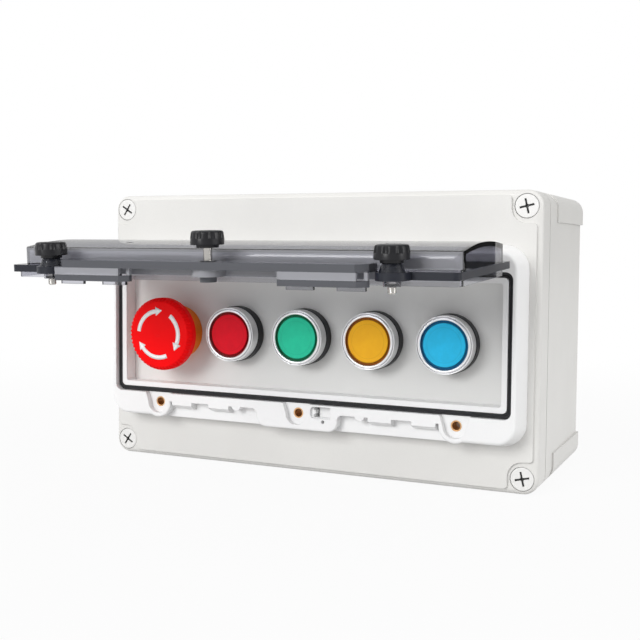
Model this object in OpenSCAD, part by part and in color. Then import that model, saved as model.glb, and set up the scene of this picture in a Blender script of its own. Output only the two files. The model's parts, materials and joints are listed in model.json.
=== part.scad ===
// Emergency stop box: a wall-mounted control station in a light grey plastic enclosure.
// A clear hinged cover over a sealed window carries three captive thumbscrews.
// Behind it stand one mushroom stop button and four illuminated push buttons.
//
// Frame: X to the right, Y into the wall, Z up. The origin is the middle of the rear face.
// Most pieces are drawn lying down, with z as the height out of the wall, and then stood up.

/* [Enclosure] */
// Width of the enclosure
box_w = 250; // [240:1:300]
// Height of the enclosure
box_h = 150; // [146:1:200]
// Depth from the wall to the flat front of the lid
box_d = 105; // [100:1:160]
// Corner radius seen from the front
box_corner_r = 8; // [7:0.5:9]
// Thickness of the side walls of the base
wall_t = 2.8; // [2:0.1:3.5]
// Thickness of the rear wall of the base
floor_t = 3.5; // [2.5:0.1:6]
// Taper of the base walls towards the wall side
wall_draft = 1.3; // [0.4:0.1:1.8]
// Width of the straight blocks at the rear corners
corner_block_w = 15; // [10:0.5:20]
// Length of these blocks from the wall
corner_block_l = 69; // [50:1:73]
// Depth of the straight rim at the front of the base
rim_depth = 14; // [8:0.5:20]
// Shadow gap between base and lid
seam_gap = 0.8; // [0.4:0.1:1.2]

/* [Lid] */
// Depth of the lid from its rim to its flat front
lid_depth = 16; // [13:0.5:22]
// Thickness of the lid's front wall
lid_plate_t = 3; // [2:0.1:4]
// Rounding of the lid's front edge
lid_edge_r = 3; // [1:0.1:4]
// Height of the raised field on the lid
field_raise = 1.2; // [0.6:0.1:2]
// Margin between the lid's edge and the raised field
field_margin = 2.6; // [1.8:0.1:3]
// Radius of the notch of the raised field around each lid screw
notch_r = 7.7; // [7.2:0.1:10]
// Distance of the lid screws from the edges
screw_inset = 8; // [7.5:0.1:9]
// Diameter of the lid screw heads
lid_screw_head_d = 11.8; // [9:0.1:12]
// Thickness of the lid screw heads
lid_screw_head_t = 2.6; // [2:0.1:2.8]
// Diameter of the lid screw shanks
lid_screw_d = 5; // [4:0.1:6]
// Length of the lid screw shanks
lid_screw_l = 30; // [22:1:36]
// Width of the lid seal
lid_seal_w = 2.4; // [1.6:0.1:2.8]
// Height of the lid seal
lid_seal_h = 2.2; // [1.5:0.1:3]

/* [Wall fixing] */
// Distance between the wall-fixing holes, left to right
wall_hole_x = 200; // [160:1:206]
// Distance between the wall-fixing holes, bottom to top
wall_hole_z = 100; // [80:1:108]
// Diameter of the wall-fixing holes
wall_hole_d = 5.5; // [4:0.1:7]

/* [Window] */
// Clear width of the window in the frame
window_w = 218; // [210:1:219]
// Clear height of the window in the frame
window_h = 60; // [54:1:61]
// Height of the window's middle above the middle of the box
window_rise = -0.5; // [-2:0.1:0]
// Corner radius of the window
window_r = 1.4; // [1:0.1:2.4]
// Corner radius of the lip around the window
lip_r = 2.4; // [1.6:0.1:4]
// Outer corner radius of the seal groove
seal_corner_r = 3.8; // [3:0.1:6]
// Width of the lip inside the seal
lip_w = 2.8; // [2:0.1:3.4]
// Width of the seal groove
groove_w = 2.7; // [2.2:0.1:3]
// Depth of the seal groove below the lip
groove_d = 3; // [2:0.1:3.6]
// Step from the lip up to the frame's front
rim_step = 2.5; // [2.5:0.1:3.5]
// Height of the frame's front above the raised field
frame_t = 13.3; // [12.5:0.1:16]
// Width of the frame beside the groove
frame_side = 4.7; // [4:0.1:5]
// Width of the frame above the groove
frame_top = 13; // [12:0.5:18]
// Width of the frame below the groove
frame_bottom = 15.2; // [14.4:0.1:18]
// Outer corner radius of the frame
frame_r = 12; // [9:0.5:16]
// Slope of the frame's outer faces from base to front
frame_slope = 2.4; // [1:0.1:3]
// Rounding of the frame's front edge
frame_edge_r = 1.8; // [0.6:0.1:2]

/* [Latch edge] */
// Distance of the outer thumbscrews from the middle
latch_x = 86.5; // [84:0.5:90]
// Distance of the thumbscrews below the seal groove
latch_drop = 5.2; // [5:0.1:7]
// Inner radius of the pockets around the brass inserts
pocket_r = 6; // [5.5:0.1:6.4]
// Depth of these pockets
pocket_d = 3.3; // [3:0.1:4]
// Outer radius of the ring around an outer pocket
pocket_ring_r = 8.4; // [8:0.1:9]
// Depth of the stepped-back sections of the lower edge
step_back = 5.2; // [4.6:0.1:6]
// Half the width of the block in the middle of the lower edge
middle_block_w = 23.7; // [22:0.1:26]
// Radius of that block's lower corners
middle_block_r = 5.5; // [3:0.1:6]
// Drop of that block below the frame's lower front edge
middle_block_drop = 0.8; // [0.2:0.1:1.2]
// Height of the bar left between the groove and the stepped-back sections
latch_bar_h = 4.3; // [3.8:0.1:5]
// Width of each hooking lug
lug_w = 12.7; // [10:0.1:14]
// Distance of the inner lugs from the middle
lug_in_x = 47.1; // [46:0.1:48]
// Distance of the outer lugs from the middle
lug_out_x = 70.5; // [68:0.1:71]
// Drop of the lugs below the bar
lug_drop = 3.9; // [3:0.1:4.2]
// Radius of the small round tabs beside the middle block
round_tab_r = 2.7; // [2:0.1:3]
// Outer diameter of the brass inserts
insert_d = 5.6; // [5:0.1:6]
// Bore of the brass inserts
insert_bore = 4.4; // [4.2:0.1:4.6]
// Length of the brass inserts
insert_l = 7.5; // [5:0.1:9]
// Diameter of the screws that hold the frame to the lid
frame_screw_d = 3; // [2.5:0.1:3.5]

/* [Hinge] */
// Distance of the hinge pin out from the frame's front
hinge_out = 5.2; // [5:0.1:6]
// Distance of the hinge pin above the seal groove
hinge_rise = 6.8; // [6:0.1:7.5]
// Diameter of the hinge pins
hinge_pin_d = 3; // [2.4:0.1:3.6]
// Distance of the hinges from the middle
hinge_x = 72; // [60:1:84]
// Width of each cover knuckle
knuckle_w = 18; // [12:0.5:22]
// Radius of the knuckles
knuckle_r = 3.2; // [2.8:0.1:3.4]
// Width of each hinge ear on the frame
ear_w = 4.5; // [3:0.1:6]
// Angle by which the cover stands open
cover_open = 87.2; // [70:0.1:100]

/* [Cover] */
// Distance of the cover's sides inside the outer edges of the seal groove
cover_inset = 0.5; // [0.1:0.1:1]
// Distance from the hinge pin to the straight free edge
cover_l = 80; // [79.4:0.1:80.5]
// Thickness of the cover's flange
flange_t = 3.4; // [2.8:0.1:3.7]
// Distance from the hinge pin back to the flange's outer face
flange_sink = 1.4; // [1.2:0.1:1.6]
// Corner radius of the flange at its free edge
flange_r = 3; // [1:0.5:6]
// Margin between the flange's side edge and the dome
dome_side = 1; // [0.8:0.1:3]
// Distance from the hinge pin to the rear wall of the dome
dome_back = 5.6; // [5.5:0.1:8]
// Distance from the dome's front wall to the free edge
dome_front = 7.7; // [7.2:0.1:10]
// Height of the dome at its crown
dome_h = 10.7; // [10.5:0.1:16]
// Radius of the crown's arch
dome_arch_r = 190; // [150:5:400]
// Wall thickness of the dome
dome_t = 2.2; // [1.6:0.1:2.4]
// Rounding along the dome's front edge
dome_front_r = 3.5; // [2.6:0.1:4]
// Rounding along the dome's rear edge
dome_back_r = 5; // [5:0.1:6]
// Corner radius of the dome seen from above
dome_corner_r = 4.1; // [4.1:0.2:4.9]
// Height of the skirt under the flange
skirt_h = 2.7; // [2:0.1:2.8]
// Thickness of the skirt
skirt_t = 1.4; // [1:0.1:1.8]
// Reach of the latch shelf beyond the straight free edge
shelf_reach = 11.3; // [10.6:0.1:12]
// Half the width of the latch shelf
shelf_w = 78; // [76:0.5:78.5]
// Thickness of the latch shelf
shelf_t = 3.4; // [2.5:0.1:4]
// Chamfer of the shelf's front corners
shelf_chamfer = 4.5; // [3:0.5:6]
// Gap between the shelf and the two rails under it
rail_gap = 3.5; // [3:0.1:3.6]
// Thickness of the two rails
rail_t = 2.6; // [2:0.1:2.8]
// Height of the four tabs under the rails
tab_h = 1.7; // [1:0.1:2]

/* [Thumbscrews] */
// Diameter of the knobs
knob_d = 15; // [14:0.5:17]
// Height of the knobs
knob_h = 6.2; // [5:0.1:8]
// Number of flutes around a knob
knob_flutes = 8; // [6:1:10]
// Diameter of the collar under a knob
knob_collar_d = 10; // [8:0.1:12]
// Height of that collar
knob_collar_h = 1.4; // [1:0.1:2.5]
// Diameter of the thumbscrew shanks
stem_d = 4; // [3.6:0.1:4]
// Distance by which a thumbscrew pulls out of its boss
thumb_pull = 5.5; // [4:0.1:5.5]
// Height of the cone of a boss above the flange
boss_cone_h = 3.7; // [3.4:0.1:5]
// Radius of a boss at the flange
boss_r = 5.6; // [5.2:0.1:6]
// Radius of a boss at its top
boss_top_r = 4; // [3.5:0.1:4.8]
// Reach of a boss below the flange's outer face
boss_drop = 5.9; // [5.4:0.1:6.2]
// Reach of the shank's tip below a boss
tip_reach = 3.1; // [2:0.1:3.4]

/* [Controls] */
// Distance of the stop button from the left edge of the window
stop_in = 30.5; // [29:0.1:32]
// Distance of the last push button from the right edge of the window
last_in = 27.95; // [26:0.05:30]
// Distance of the stop button from the first push button
stop_pitch = 38.8; // [37:0.1:40]
// Height of the row of controls above the middle of the box
row_rise = -1.2; // [-2:0.1:0]
// Drop of the stop button below the row of push buttons
stop_drop = 0.8; // [0:0.1:1.2]
// Thickness of the plate that carries the controls
panel_t = 2.5; // [2:0.1:3]
// Diameter of the threaded barrels
barrel_d = 22; // [21:0.1:22.3]
// Diameter of the push button bezels
bezel_d = 29.4; // [28:0.1:31]
// Height of the black ring under a bezel
ring_h = 6.3; // [5:0.1:7]
// Reach of that ring beyond the bezel
ring_reach = 0.3; // [0:0.1:0.6]
// Height of a bezel above its ring
bezel_h = 6.4; // [6.4:0.1:8]
// Diameter of the push button lenses
lens_d = 24.2; // [22.5:0.1:24.6]
// Thickness of a lens
lens_t = 2.1; // [1.7:0.1:2.1]
// Travel of a push button
button_travel = 3.2; // [2:0.1:3.2]
// Diameter of the push button plungers
plunger_d = 18.6; // [16:0.1:19]
// Length of a barrel behind the front of the plate
barrel_l = 24.7; // [22:0.1:28]

/* [Stop button] */
// Diameter of the mushroom head
mushroom_d = 39.8; // [36:0.1:42]
// Height of the mushroom's crown above the plate
mushroom_rise = 22.3; // [22.2:0.1:22.5]
// Thickness of the mushroom's head
mushroom_t = 8.7; // [7.5:0.1:8.8]
// Number of scallops around the head
mushroom_scallops = 54; // [40:2:56]
// Diameter of the yellow collar
collar_d = 29.4; // [28.6:0.1:31]
// Height of the yellow collar
collar_h = 7.6; // [5:0.1:7.8]
// Travel of the stop button
stop_travel = 4.5; // [3:0.1:4.5]
// Diameter of the stop button's shaft
stop_shaft_d = 14.8; // [12:0.1:16]

/* [Contact blocks] */
// Width of a contact block
contact_w = 28; // [24:1:32]
// Height of a contact block
contact_h = 36; // [30:1:44]
// Depth of a contact block
contact_l = 26; // [20:1:32]

/* [Springs] */
// Wire diameter of the return springs
wire_d = 1; // [0.6:0.1:1.2]
// Number of turns of a return spring
spring_turns = 5; // [4:0.5:6]

/* [Hidden] */
$fn = 48;

// Clearances and small common sizes
fit = 0.05;
seat = 0.02;
gap = 0.3;
cut = 1;

// Heights out of the wall
seam_z = box_d - lid_depth;
field_z = box_d + field_raise;
panel_z = field_z + panel_t;
front_z = field_z + frame_t;
lip_z = front_z - rim_step;
groove_z = lip_z - groove_d;

// Outline of the seal groove, and what lies around it
groove_in_w = window_w + 2 * lip_w;
groove_in_h = window_h + 2 * lip_w;
groove_out_w = groove_in_w + 2 * groove_w;
groove_out_h = groove_in_h + 2 * groove_w;
groove_top = window_rise + groove_out_h / 2;
groove_bottom = window_rise - groove_out_h / 2;
frame_w = groove_out_w + 2 * frame_side;
frame_h = groove_out_h + frame_top + frame_bottom;
frame_rise = window_rise + (frame_top - frame_bottom) / 2;
frame_low = groove_bottom - frame_bottom + frame_slope;

// Plate, lid cut-out and rebate
plate_margin = 4;
plate_r = 3;
cutout_side = 7;
cutout_edge = 2;
plate_w = window_w + 2 * plate_margin;
plate_h = window_h + 2 * plate_margin;
cutout_w = window_w - 2 * cutout_side;
cutout_h = window_h - 2 * cutout_edge;

// Hinge and latch
hinge_y = groove_top + hinge_rise;
hinge_z = front_z + hinge_out;
latch_y = groove_bottom - latch_drop;
latch_s = hinge_y - latch_y;
pocket_z = front_z - pocket_d;
bar_y = groove_bottom - latch_bar_h;
pad_edge_r = 1;
lug_y = bar_y - lug_drop;
step_z = front_z - step_back;
latch_xs = [-latch_x, 0, latch_x];
frame_screw_side = 9;
frame_screw_out = window_w / 2 - frame_screw_side;
frame_screw_in = 30;
frame_screw_bite = 6;
frame_screw_y = groove_bottom - 8;
frame_screw_top_y = groove_top + 6;
ear_xs = [for (s = [-1, 1]) for (e = [-1, 1]) s * hinge_x + e * (knuckle_w + ear_w + 2 * gap) / 2];

// Cover, in its own frame: x across, y = 0 at the pin and negative towards the free edge,
// z outwards from the pin
flange_out = -flange_sink;
flange_in = flange_out - flange_t;
flange_back = 0.2;
cover_w = groove_out_w - 2 * cover_inset;
dome_front_s = cover_l - dome_front;
dome_w = cover_w - 2 * dome_side;
dome_mid_s = (dome_back + dome_front_s) / 2;
shelf_s = cover_l + shelf_reach;
shelf_back_s = cover_l - 2.3;
rail_top = flange_out - rail_gap;
rail_bottom = rail_top - rail_t;
rail_back_s = hinge_y - lug_y + 0.4;
skirt_w = groove_in_w + 2 * skirt_t + 0.4;
skirt_len = groove_in_h + 2 * skirt_t + 0.4;
skirt_mid_s = hinge_y - window_rise;
skirt_r = lip_r + 0.2;
skirt_tip = flange_in - skirt_h;
boss_top = flange_out + boss_cone_h;
boss_bottom = flange_out - boss_drop;
boss_low_r = 4.1;
boss_taper = 0.4;
ring_r = 3;
ring_t = 1;
ring_seated_z = boss_bottom + 0.2;
ring_well_z = ring_seated_z + ring_t + thumb_pull + gap;
tip_z = boss_bottom - tip_reach;
tip_d = stem_d - 0.4;
groove_r = tip_d / 2 - 0.3;
thumb_grip = 4;

// Controls
button_pitch = (window_w - stop_in - last_in - stop_pitch) / 3;
stop_x = stop_in - window_w / 2;
button_xs = [for (i = [0 : 3]) stop_x + stop_pitch + i * button_pitch];
barrel_r = barrel_d / 2;
barrel_z = panel_z - barrel_l;
ring_top = panel_z + ring_h;
bezel_front = ring_top + bezel_h;
sleeve_l = 2.7;
bezel_z = ring_top - sleeve_l;
barrel_lip_t = 1;
barrel_lip_z = ring_top - barrel_lip_t;
bezel_bore_r = lens_d / 2 + 0.4;
sleeve_r = bezel_bore_r + 0.4;
lens_front = bezel_front - 0.8;
lens_step = 1.2;
lens_back = lens_front - lens_t;
plunger_r = plunger_d / 2;
shoulder_rise = 14;
shoulder_z = barrel_z + shoulder_rise;
ledge_t = 2;
ledge_z = barrel_z + ledge_t;
plunger_end_z = barrel_z - 1.5;
stem_r = 5;
stop_stem_r = 4.5;
well_r = stem_r + 0.6;
well_z = plunger_end_z - stop_travel - 1;
nut_t = 4.5;
nut_r = 15.6;
mushroom_front = panel_z + mushroom_rise;
mushroom_back = mushroom_front - mushroom_t;
mushroom_r = mushroom_d / 2;
mushroom_edge_r = 3;
mushroom_shoulder = mushroom_front - 1.1;
hub_r = 9.5;
hub_t = 1.1;
spigot_r = 4.9;
spigot_l = 5;
collar_z = panel_z + collar_h;
stop_flange_t = 1;
stop_flange_r = barrel_r + 1.7;

// Base
cavity_w = box_w - 2 * (wall_t + wall_draft);
cavity_h = box_h - 2 * (wall_t + wall_draft);
cavity_r = 20;
ledge_w = 4;
mouth_w = cavity_w - 2 * ledge_w;
mouth_h = cavity_h - 2 * ledge_w;
mouth_r = 25;
seal_ledge_t = 9;
pillar_r = 8;
seal_line = 4.8;
lid_seal_sink = 1.2;
lid_seal_r = 27;
base_insert_r = 3.6;
base_insert_l = 20;
wall_boss_r = 6.5;
wall_boss_t = 3;

grey = [0.87, 0.87, 0.85];
white = [0.93, 0.94, 0.94];
black = [0.1, 0.1, 0.11];
smoke = [0.45, 0.46, 0.5, 0.5];
steel = [0.75, 0.75, 0.76];
brass = [0.8, 0.6, 0.3];

// Stands a piece up: its height out of the wall turns to face the viewer
module upright() {
    rotate([90, 0, 0]) children();
}

// Rectangle with round corners
module rounded_rect(w, h, r) {
    square([w - 2 * r, h], center = true);
    square([w, h - 2 * r], center = true);
    for (x = [-1, 1]) for (y = [-1, 1])
        translate([x * (w / 2 - r), y * (h / 2 - r)]) circle(r);
}

// Plate with round corners, from height z to height z + t
module rounded_plate(w, h, r, z, t) {
    translate([0, 0, z]) linear_extrude(t) rounded_rect(w, h, r);
}

// Runs a profile round a rectangle with corner radius r.
// The profile's x is measured outwards from the corner's centre, its y is the height.
module run_round(w, h, r) {
    for (k = [0 : 3]) {
        across = k % 2 == 0 ? w / 2 - r : h / 2 - r;
        along = k % 2 == 0 ? h / 2 - r : w / 2 - r;
        rotate([0, 0, 90 * k]) {
            translate([across, along, 0]) rotate_extrude(angle = 90) children();
            translate([across, along, 0]) rotate([90, 0, 0]) linear_extrude(2 * along) children();
        }
    }
}

// Block whose edge follows a profile that starts at the corner's centre, from height z to z + t
module edged_block(w, h, r, z, t) {
    run_round(w, h, r) children();
    translate([0, 0, z + t / 2]) cube([w - 2 * r, h - 2 * r, t], center = true);
}

// Places a copy at each lid screw
module at_lid_screws() {
    for (x = [-1, 1]) for (y = [-1, 1]) {
        $screw_turn = x > 0 ? 13 : -33;
        translate([x * (box_w / 2 - screw_inset), y * (box_h / 2 - screw_inset), 0]) children();
    }
}

// Height of a control's axis: the stop button sits a little lower than the push buttons
function control_y(x) = x == stop_x ? row_rise - stop_drop : row_rise;

// Places a piece at a control of the row
module at_control(x) {
    upright() translate([x, control_y(x), 0]) children();
}

// Places a piece on the cover as it stands open
module on_cover() {
    upright() translate([0, hinge_y, hinge_z]) rotate([-cover_open, 0, 0]) children();
}

// Places a piece on the axis of a thumbscrew that is pulled out by some distance
module at_thumbscrew(x, pulled) {
    on_cover() translate([x, -latch_s, pulled]) children();
}

// Tube from height z to height z + t
module tube(r_out, r_in, z, t) {
    translate([0, 0, z]) difference() {
        cylinder(r = r_out, h = t);
        translate([0, 0, -cut]) cylinder(r = r_in, h = t + 2 * cut);
    }
}

// Coil spring between two heights, as a closed swept wire
module coil(mean_r, z_low, z_high) {
    steps_a_turn = 14;
    sides = 6;
    rings = floor(spring_turns * steps_a_turn);
    rise = z_high - z_low - wire_d;
    points = [for (i = [0 : rings]) for (j = [0 : sides - 1])
        let (a = 360 * i / steps_a_turn, b = 360 * j / sides,
            r = mean_r + wire_d / 2 * cos(b))
        [r * cos(a), r * sin(a), z_low + wire_d / 2 + rise * i / rings + wire_d / 2 * sin(b)]];
    walls = [for (i = [0 : rings - 1]) for (j = [0 : sides - 1])
        [i * sides + j, i * sides + (j + 1) % sides,
            (i + 1) * sides + (j + 1) % sides, (i + 1) * sides + j]];
    start = [[for (j = [sides - 1 : -1 : 0]) j]];
    end = [[for (j = [0 : sides - 1]) rings * sides + j]];
    polyhedron(points, concat(start, walls, end), convexity = 10);
}

// Edge of the base: a tapered wall, a straight rim and a shadow gap at the seam
module base_edge() {
    r = box_corner_r;
    rim_z = seam_z - rim_depth;
    polygon([[0, 0], [r - wall_draft - 1, 0], [r - wall_draft, 1], [r - 0.8, rim_z],
        [r, rim_z + 0.8], [r, seam_z - seam_gap], [r - 1, seam_z - seam_gap], [r - 1, seam_z],
        [0, seam_z]]);
}

// Straight blocks at the rear corners, which end below the rim
module corner_blocks() {
    side = 2 * corner_block_w;
    intersection() {
        rounded_plate(box_w, box_h, box_corner_r, 0, corner_block_l);
        for (x = [-1, 1]) for (y = [-1, 1])
            translate([x * box_w / 2, y * box_h / 2, 0])
                cube([side, side, 3 * corner_block_l], center = true);
    }
}

module base_box() {
    color(grey) upright() difference() {
        union() {
            edged_block(box_w, box_h, box_corner_r, 0, seam_z) base_edge();
            corner_blocks();
        }
        difference() {
            rounded_plate(cavity_w, cavity_h, cavity_r, floor_t, seam_z - seal_ledge_t - floor_t);
            at_lid_screws() cylinder(r = pillar_r, h = seam_z);
            for (x = [-1, 1]) for (y = [-1, 1]) translate([x * wall_hole_x / 2, y * wall_hole_z / 2, 0])
                cylinder(r = wall_boss_r, h = floor_t + wall_boss_t);
        }
        rounded_plate(mouth_w, mouth_h, mouth_r, seam_z - seal_ledge_t - cut, seal_ledge_t + 2 * cut);
        at_lid_screws() translate([0, 0, seam_z - base_insert_l]) cylinder(r = base_insert_r + seat,
            h = base_insert_l + cut);
        at_lid_screws() translate([0, 0, box_d - lid_screw_head_t - lid_screw_l - 2])
            cylinder(d = lid_screw_d + 0.6, h = lid_screw_l);
        for (x = [-1, 1]) for (y = [-1, 1]) translate([x * wall_hole_x / 2, y * wall_hole_z / 2, -cut])
            cylinder(d = wall_hole_d, h = floor_t + wall_boss_t + 2 * cut);
        seal_path(lid_seal_w / 2 + seat) translate([0, seam_z - lid_seal_sink])
            square([lid_seal_w + 2 * seat, lid_seal_sink + cut]);
    }
}

// Runs a profile along the path of the lid seal; the profile's left edge lies inside by half
module seal_path(half) {
    w = cavity_w - 2 * seal_line + 2 * ledge_w;
    h = cavity_h - 2 * seal_line + 2 * ledge_w;
    run_round(w, h, lid_seal_r) translate([lid_seal_r - half, 0]) children();
}

module base_inserts() {
    color(brass) upright() at_lid_screws()
        tube(base_insert_r, lid_screw_d / 2 + fit, seam_z - base_insert_l, base_insert_l);
}

module lid_seal() {
    color(black) upright() seal_path(lid_seal_w / 2) translate([0, seam_z - lid_seal_sink])
        square([lid_seal_w, lid_seal_h]);
}

// Edge of the lid, rounded towards the front
module lid_edge() {
    r = box_corner_r;
    e = lid_edge_r;
    translate([0, seam_z]) square([r, lid_depth - e]);
    translate([0, seam_z]) square([r - e, lid_depth]);
    translate([r - e, box_d - e]) circle(e);
}

// Raised field of the lid, notched around the screws
module field() {
    w = box_w - 2 * field_margin;
    h = box_h - 2 * field_margin;
    soft = 2;
    notch_x = box_w / 2 - screw_inset - notch_r + 0.5;
    notch_y = box_h / 2 - screw_inset - notch_r - 0.8;
    difference() {
        square([w, h], center = true);
        for (x = [-1, 1]) for (y = [-1, 1]) scale_xy(x, y) {
            translate([notch_x + notch_r, notch_y + notch_r]) circle(notch_r);
            translate([notch_x + notch_r, notch_y]) square([3 * notch_r, 4 * notch_r]);
            translate([notch_x, notch_y + notch_r]) square([4 * notch_r, 3 * notch_r]);
            translate([w / 2 - soft, notch_y - soft]) outer_corner(soft);
            translate([notch_x - soft, h / 2 - soft]) outer_corner(soft);
        }
    }
}

// Mirrors a quarter into another quadrant
module scale_xy(x, y) {
    mirror([x < 0 ? 1 : 0, 0, 0]) mirror([0, y < 0 ? 1 : 0, 0]) children();
}

// What a rounding of radius r takes off an outer corner
module outer_corner(r) {
    difference() {
        square([r + 0.01, r + 0.01]);
        circle(r);
    }
}

module lid() {
    color(grey) upright() difference() {
        union() {
            edged_block(box_w, box_h, box_corner_r, seam_z, lid_depth) lid_edge();
            translate([0, 0, box_d - cut]) linear_extrude(field_raise + cut) field();
        }
        rounded_plate(mouth_w, mouth_h, mouth_r, seam_z - cut, lid_depth - lid_plate_t + cut);
        translate([0, window_rise, 0]) rounded_plate(cutout_w, cutout_h, plate_r, seam_z,
            lid_depth + 2 * field_raise);
        seal_path(lid_seal_w / 2 + seat) translate([0, seam_z - cut])
            square([lid_seal_w + 2 * seat, lid_seal_h - lid_seal_sink + cut + seat]);
        at_lid_screws() translate([0, 0, box_d - lid_screw_head_t - seat])
            cylinder(d = lid_screw_head_d + 0.4, h = lid_screw_head_t + 2 * field_raise);
        at_lid_screws() translate([0, 0, seam_z - cut]) cylinder(d = lid_screw_d + 0.4, h = lid_depth);
        at_frame_screws() translate([0, 0, seam_z])
            cylinder(d = frame_screw_d + 0.3, h = lid_depth + 2 * field_raise);
    }
}

module lid_screws() {
    slot_w = 1;
    slot_l = 7.4;
    slot_d = 1.6;
    slot_eye_d = 2;
    head_z = box_d - lid_screw_head_t;
    soft = 0.5;
    color(grey) upright() at_lid_screws() difference() {
        union() {
            rotate_extrude() {
                translate([0, head_z]) square([lid_screw_head_d / 2, lid_screw_head_t - soft]);
                translate([0, head_z]) square([lid_screw_head_d / 2 - soft, lid_screw_head_t]);
                translate([lid_screw_head_d / 2 - soft, box_d - soft]) circle(soft);
            }
            translate([0, 0, head_z - lid_screw_l]) cylinder(d = lid_screw_d, h = lid_screw_l + soft);
        }
        for (a = [0, 90]) rotate([0, 0, a + $screw_turn]) translate([0, 0, box_d])
            cube([slot_l, slot_w, 2 * slot_d], center = true);
        translate([0, 0, box_d - slot_d - 0.3]) cylinder(d = slot_eye_d, h = slot_d + cut);
    }
}

// Places a copy at each screw of the window frame
module at_frame_screws() {
    for (x = [-1, 1]) {
        translate([x * frame_screw_out, frame_screw_y, 0]) children();
        translate([x * frame_screw_in, frame_screw_y, 0]) children();
        translate([x * frame_screw_out, frame_screw_top_y, 0]) children();
    }
    translate([0, frame_screw_top_y, 0]) children();
}

module frame_screws() {
    head_t = 1.8;
    head_z = box_d - lid_plate_t - head_t;
    color(steel) upright() at_frame_screws() {
        translate([0, 0, head_z]) cylinder(r = frame_screw_d, h = head_t);
        translate([0, 0, head_z]) cylinder(d = frame_screw_d, h = field_z + frame_screw_bite - head_z);
    }
}

module button_panel() {
    color(grey) upright() difference() {
        translate([0, window_rise, 0]) rounded_plate(plate_w, plate_h, plate_r, field_z, panel_t);
        for (x = concat([stop_x], button_xs)) translate([x, control_y(x), field_z - cut])
            cylinder(r = barrel_r + seat, h = panel_t + 2 * cut);
    }
}

// Edge of the window frame: sloped outwards to its base, rounded at the front
module frame_edge() {
    e = frame_edge_r;
    top_r = frame_r - frame_slope;
    polygon([[0, field_z], [frame_r, field_z], [top_r, front_z - e], [top_r - e, front_z], [0, front_z]]);
    translate([top_r - e, front_z - e]) circle(e);
}

// Outline of a pocket around a brass insert, open towards the groove
module pocket() {
    circle(pocket_r);
    rise = latch_drop + cut;
    polygon([[-pocket_r, 0], [pocket_r, 0], [pocket_r + 2, rise], [-pocket_r - 2, rise]]);
}

// Outline of the right stepped-back section of the frame's lower edge
module step_outline() {
    low = 3 * frame_bottom;
    arch_r = 2.5;
    inner = middle_block_w - middle_block_r;
    difference() {
        translate([0, bar_y - low]) square([latch_x, low]);
        translate([-cut, bar_y - 2 * low]) square([inner + cut, 3 * low]);
        translate([-cut, bar_y - arch_r]) square([middle_block_w + cut, 2 * arch_r]);
        translate([middle_block_w - 0.01, bar_y + 0.01]) mirror([0, 1, 0]) difference() {
            square([arch_r + 0.01, arch_r + 0.01]);
            translate([arch_r + 0.01, arch_r + 0.01]) circle(arch_r);
        }
        translate([lug_in_x - lug_w / 2 - round_tab_r - 2, bar_y + 0.6]) circle(round_tab_r);
        translate([latch_x, latch_y]) circle(pocket_ring_r - pad_edge_r);
    }
}

// Edge of the middle block and of the rings around the outer pockets, for an outline of radius r
module pad_edge(r) {
    translate([0, field_z]) square([r, frame_t - pad_edge_r]);
    translate([0, field_z]) square([r - pad_edge_r, frame_t]);
    translate([r - pad_edge_r, front_z - pad_edge_r]) circle(pad_edge_r);
}

// Middle block of the lower edge and the rings around the two outer pockets
module pads() {
    low = frame_low - middle_block_drop;
    high = bar_y + 3;
    translate([0, (low + high) / 2, 0])
        edged_block(2 * middle_block_w, high - low, middle_block_r, field_z, frame_t)
            pad_edge(middle_block_r);
    for (x = [-latch_x, latch_x]) translate([x, latch_y, 0])
        rotate_extrude() pad_edge(pocket_ring_r);
}

// Hooking lug: its face slopes outwards and down to the stepped-back floor
module lug(x) {
    front_drop = lug_drop - 2;
    translate([x - lug_w / 2, 0, 0]) rotate([90, 0, 90]) linear_extrude(lug_w)
        polygon([[bar_y + 0.5, step_z - cut], [lug_y, step_z - cut], [lug_y, step_z + 1.6],
            [bar_y - front_drop, front_z], [bar_y + 0.5, front_z]]);
}

// Recess for a sealing wire beside the middle pocket, with a hook at its left and a small eye
module sealing_recess() {
    l = 11.5;
    h = 6.2;
    soft = 2.4;
    rim = 1.6;
    translate([8.3, groove_bottom - 0.8 - h, 0]) {
        translate([0, 0, front_z - 1.6]) linear_extrude(1.6 + cut) {
            translate([soft, 0]) square([l - soft, h]);
            translate([0, soft]) square([l, h - 2 * soft]);
            translate([soft, soft]) circle(soft);
            translate([soft, h - soft]) circle(soft);
        }
        translate([0, 0, front_z - 5]) linear_extrude(5) difference() {
            translate([rim, 0.4]) square([l - rim - 0.4, h - 0.8]);
            translate([rim, h / 2]) circle(1.1);
        }
        translate([0, 0, front_z - 8]) linear_extrude(4) difference() {
            translate([rim, 0.4]) square([1.8, h - 0.8]);
            translate([rim, h / 2]) circle(1.1);
        }
        translate([7.3, -1.5, front_z - 4]) cylinder(d = 1.8, h = 4 + cut);
    }
}

// Ear that carries a hinge pin
module hinge_ear(x) {
    root = 4;
    sink = 2.5;
    head = 3.5;
    translate([x - ear_w / 2, 0, 0]) rotate([90, 0, 90]) linear_extrude(ear_w) difference() {
        union() {
            translate([hinge_y, hinge_z]) circle(head);
            polygon([[hinge_y - root, front_z - sink], [hinge_y + root - 1, front_z - sink],
                [hinge_y + head, hinge_z], [hinge_y - head, hinge_z]]);
        }
        translate([hinge_y, hinge_z]) circle(d = hinge_pin_d + 2 * seat);
    }
}

// Frame with its lower edge stepped back between the block and the rings
module frame_body() {
    difference() {
        translate([0, frame_rise, 0]) edged_block(frame_w, frame_h, frame_r, field_z, frame_t) frame_edge();
        translate([0, 0, step_z]) linear_extrude(step_back + cut) {
            step_outline();
            mirror([1, 0, 0]) step_outline();
        }
    }
    pads();
}

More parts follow.
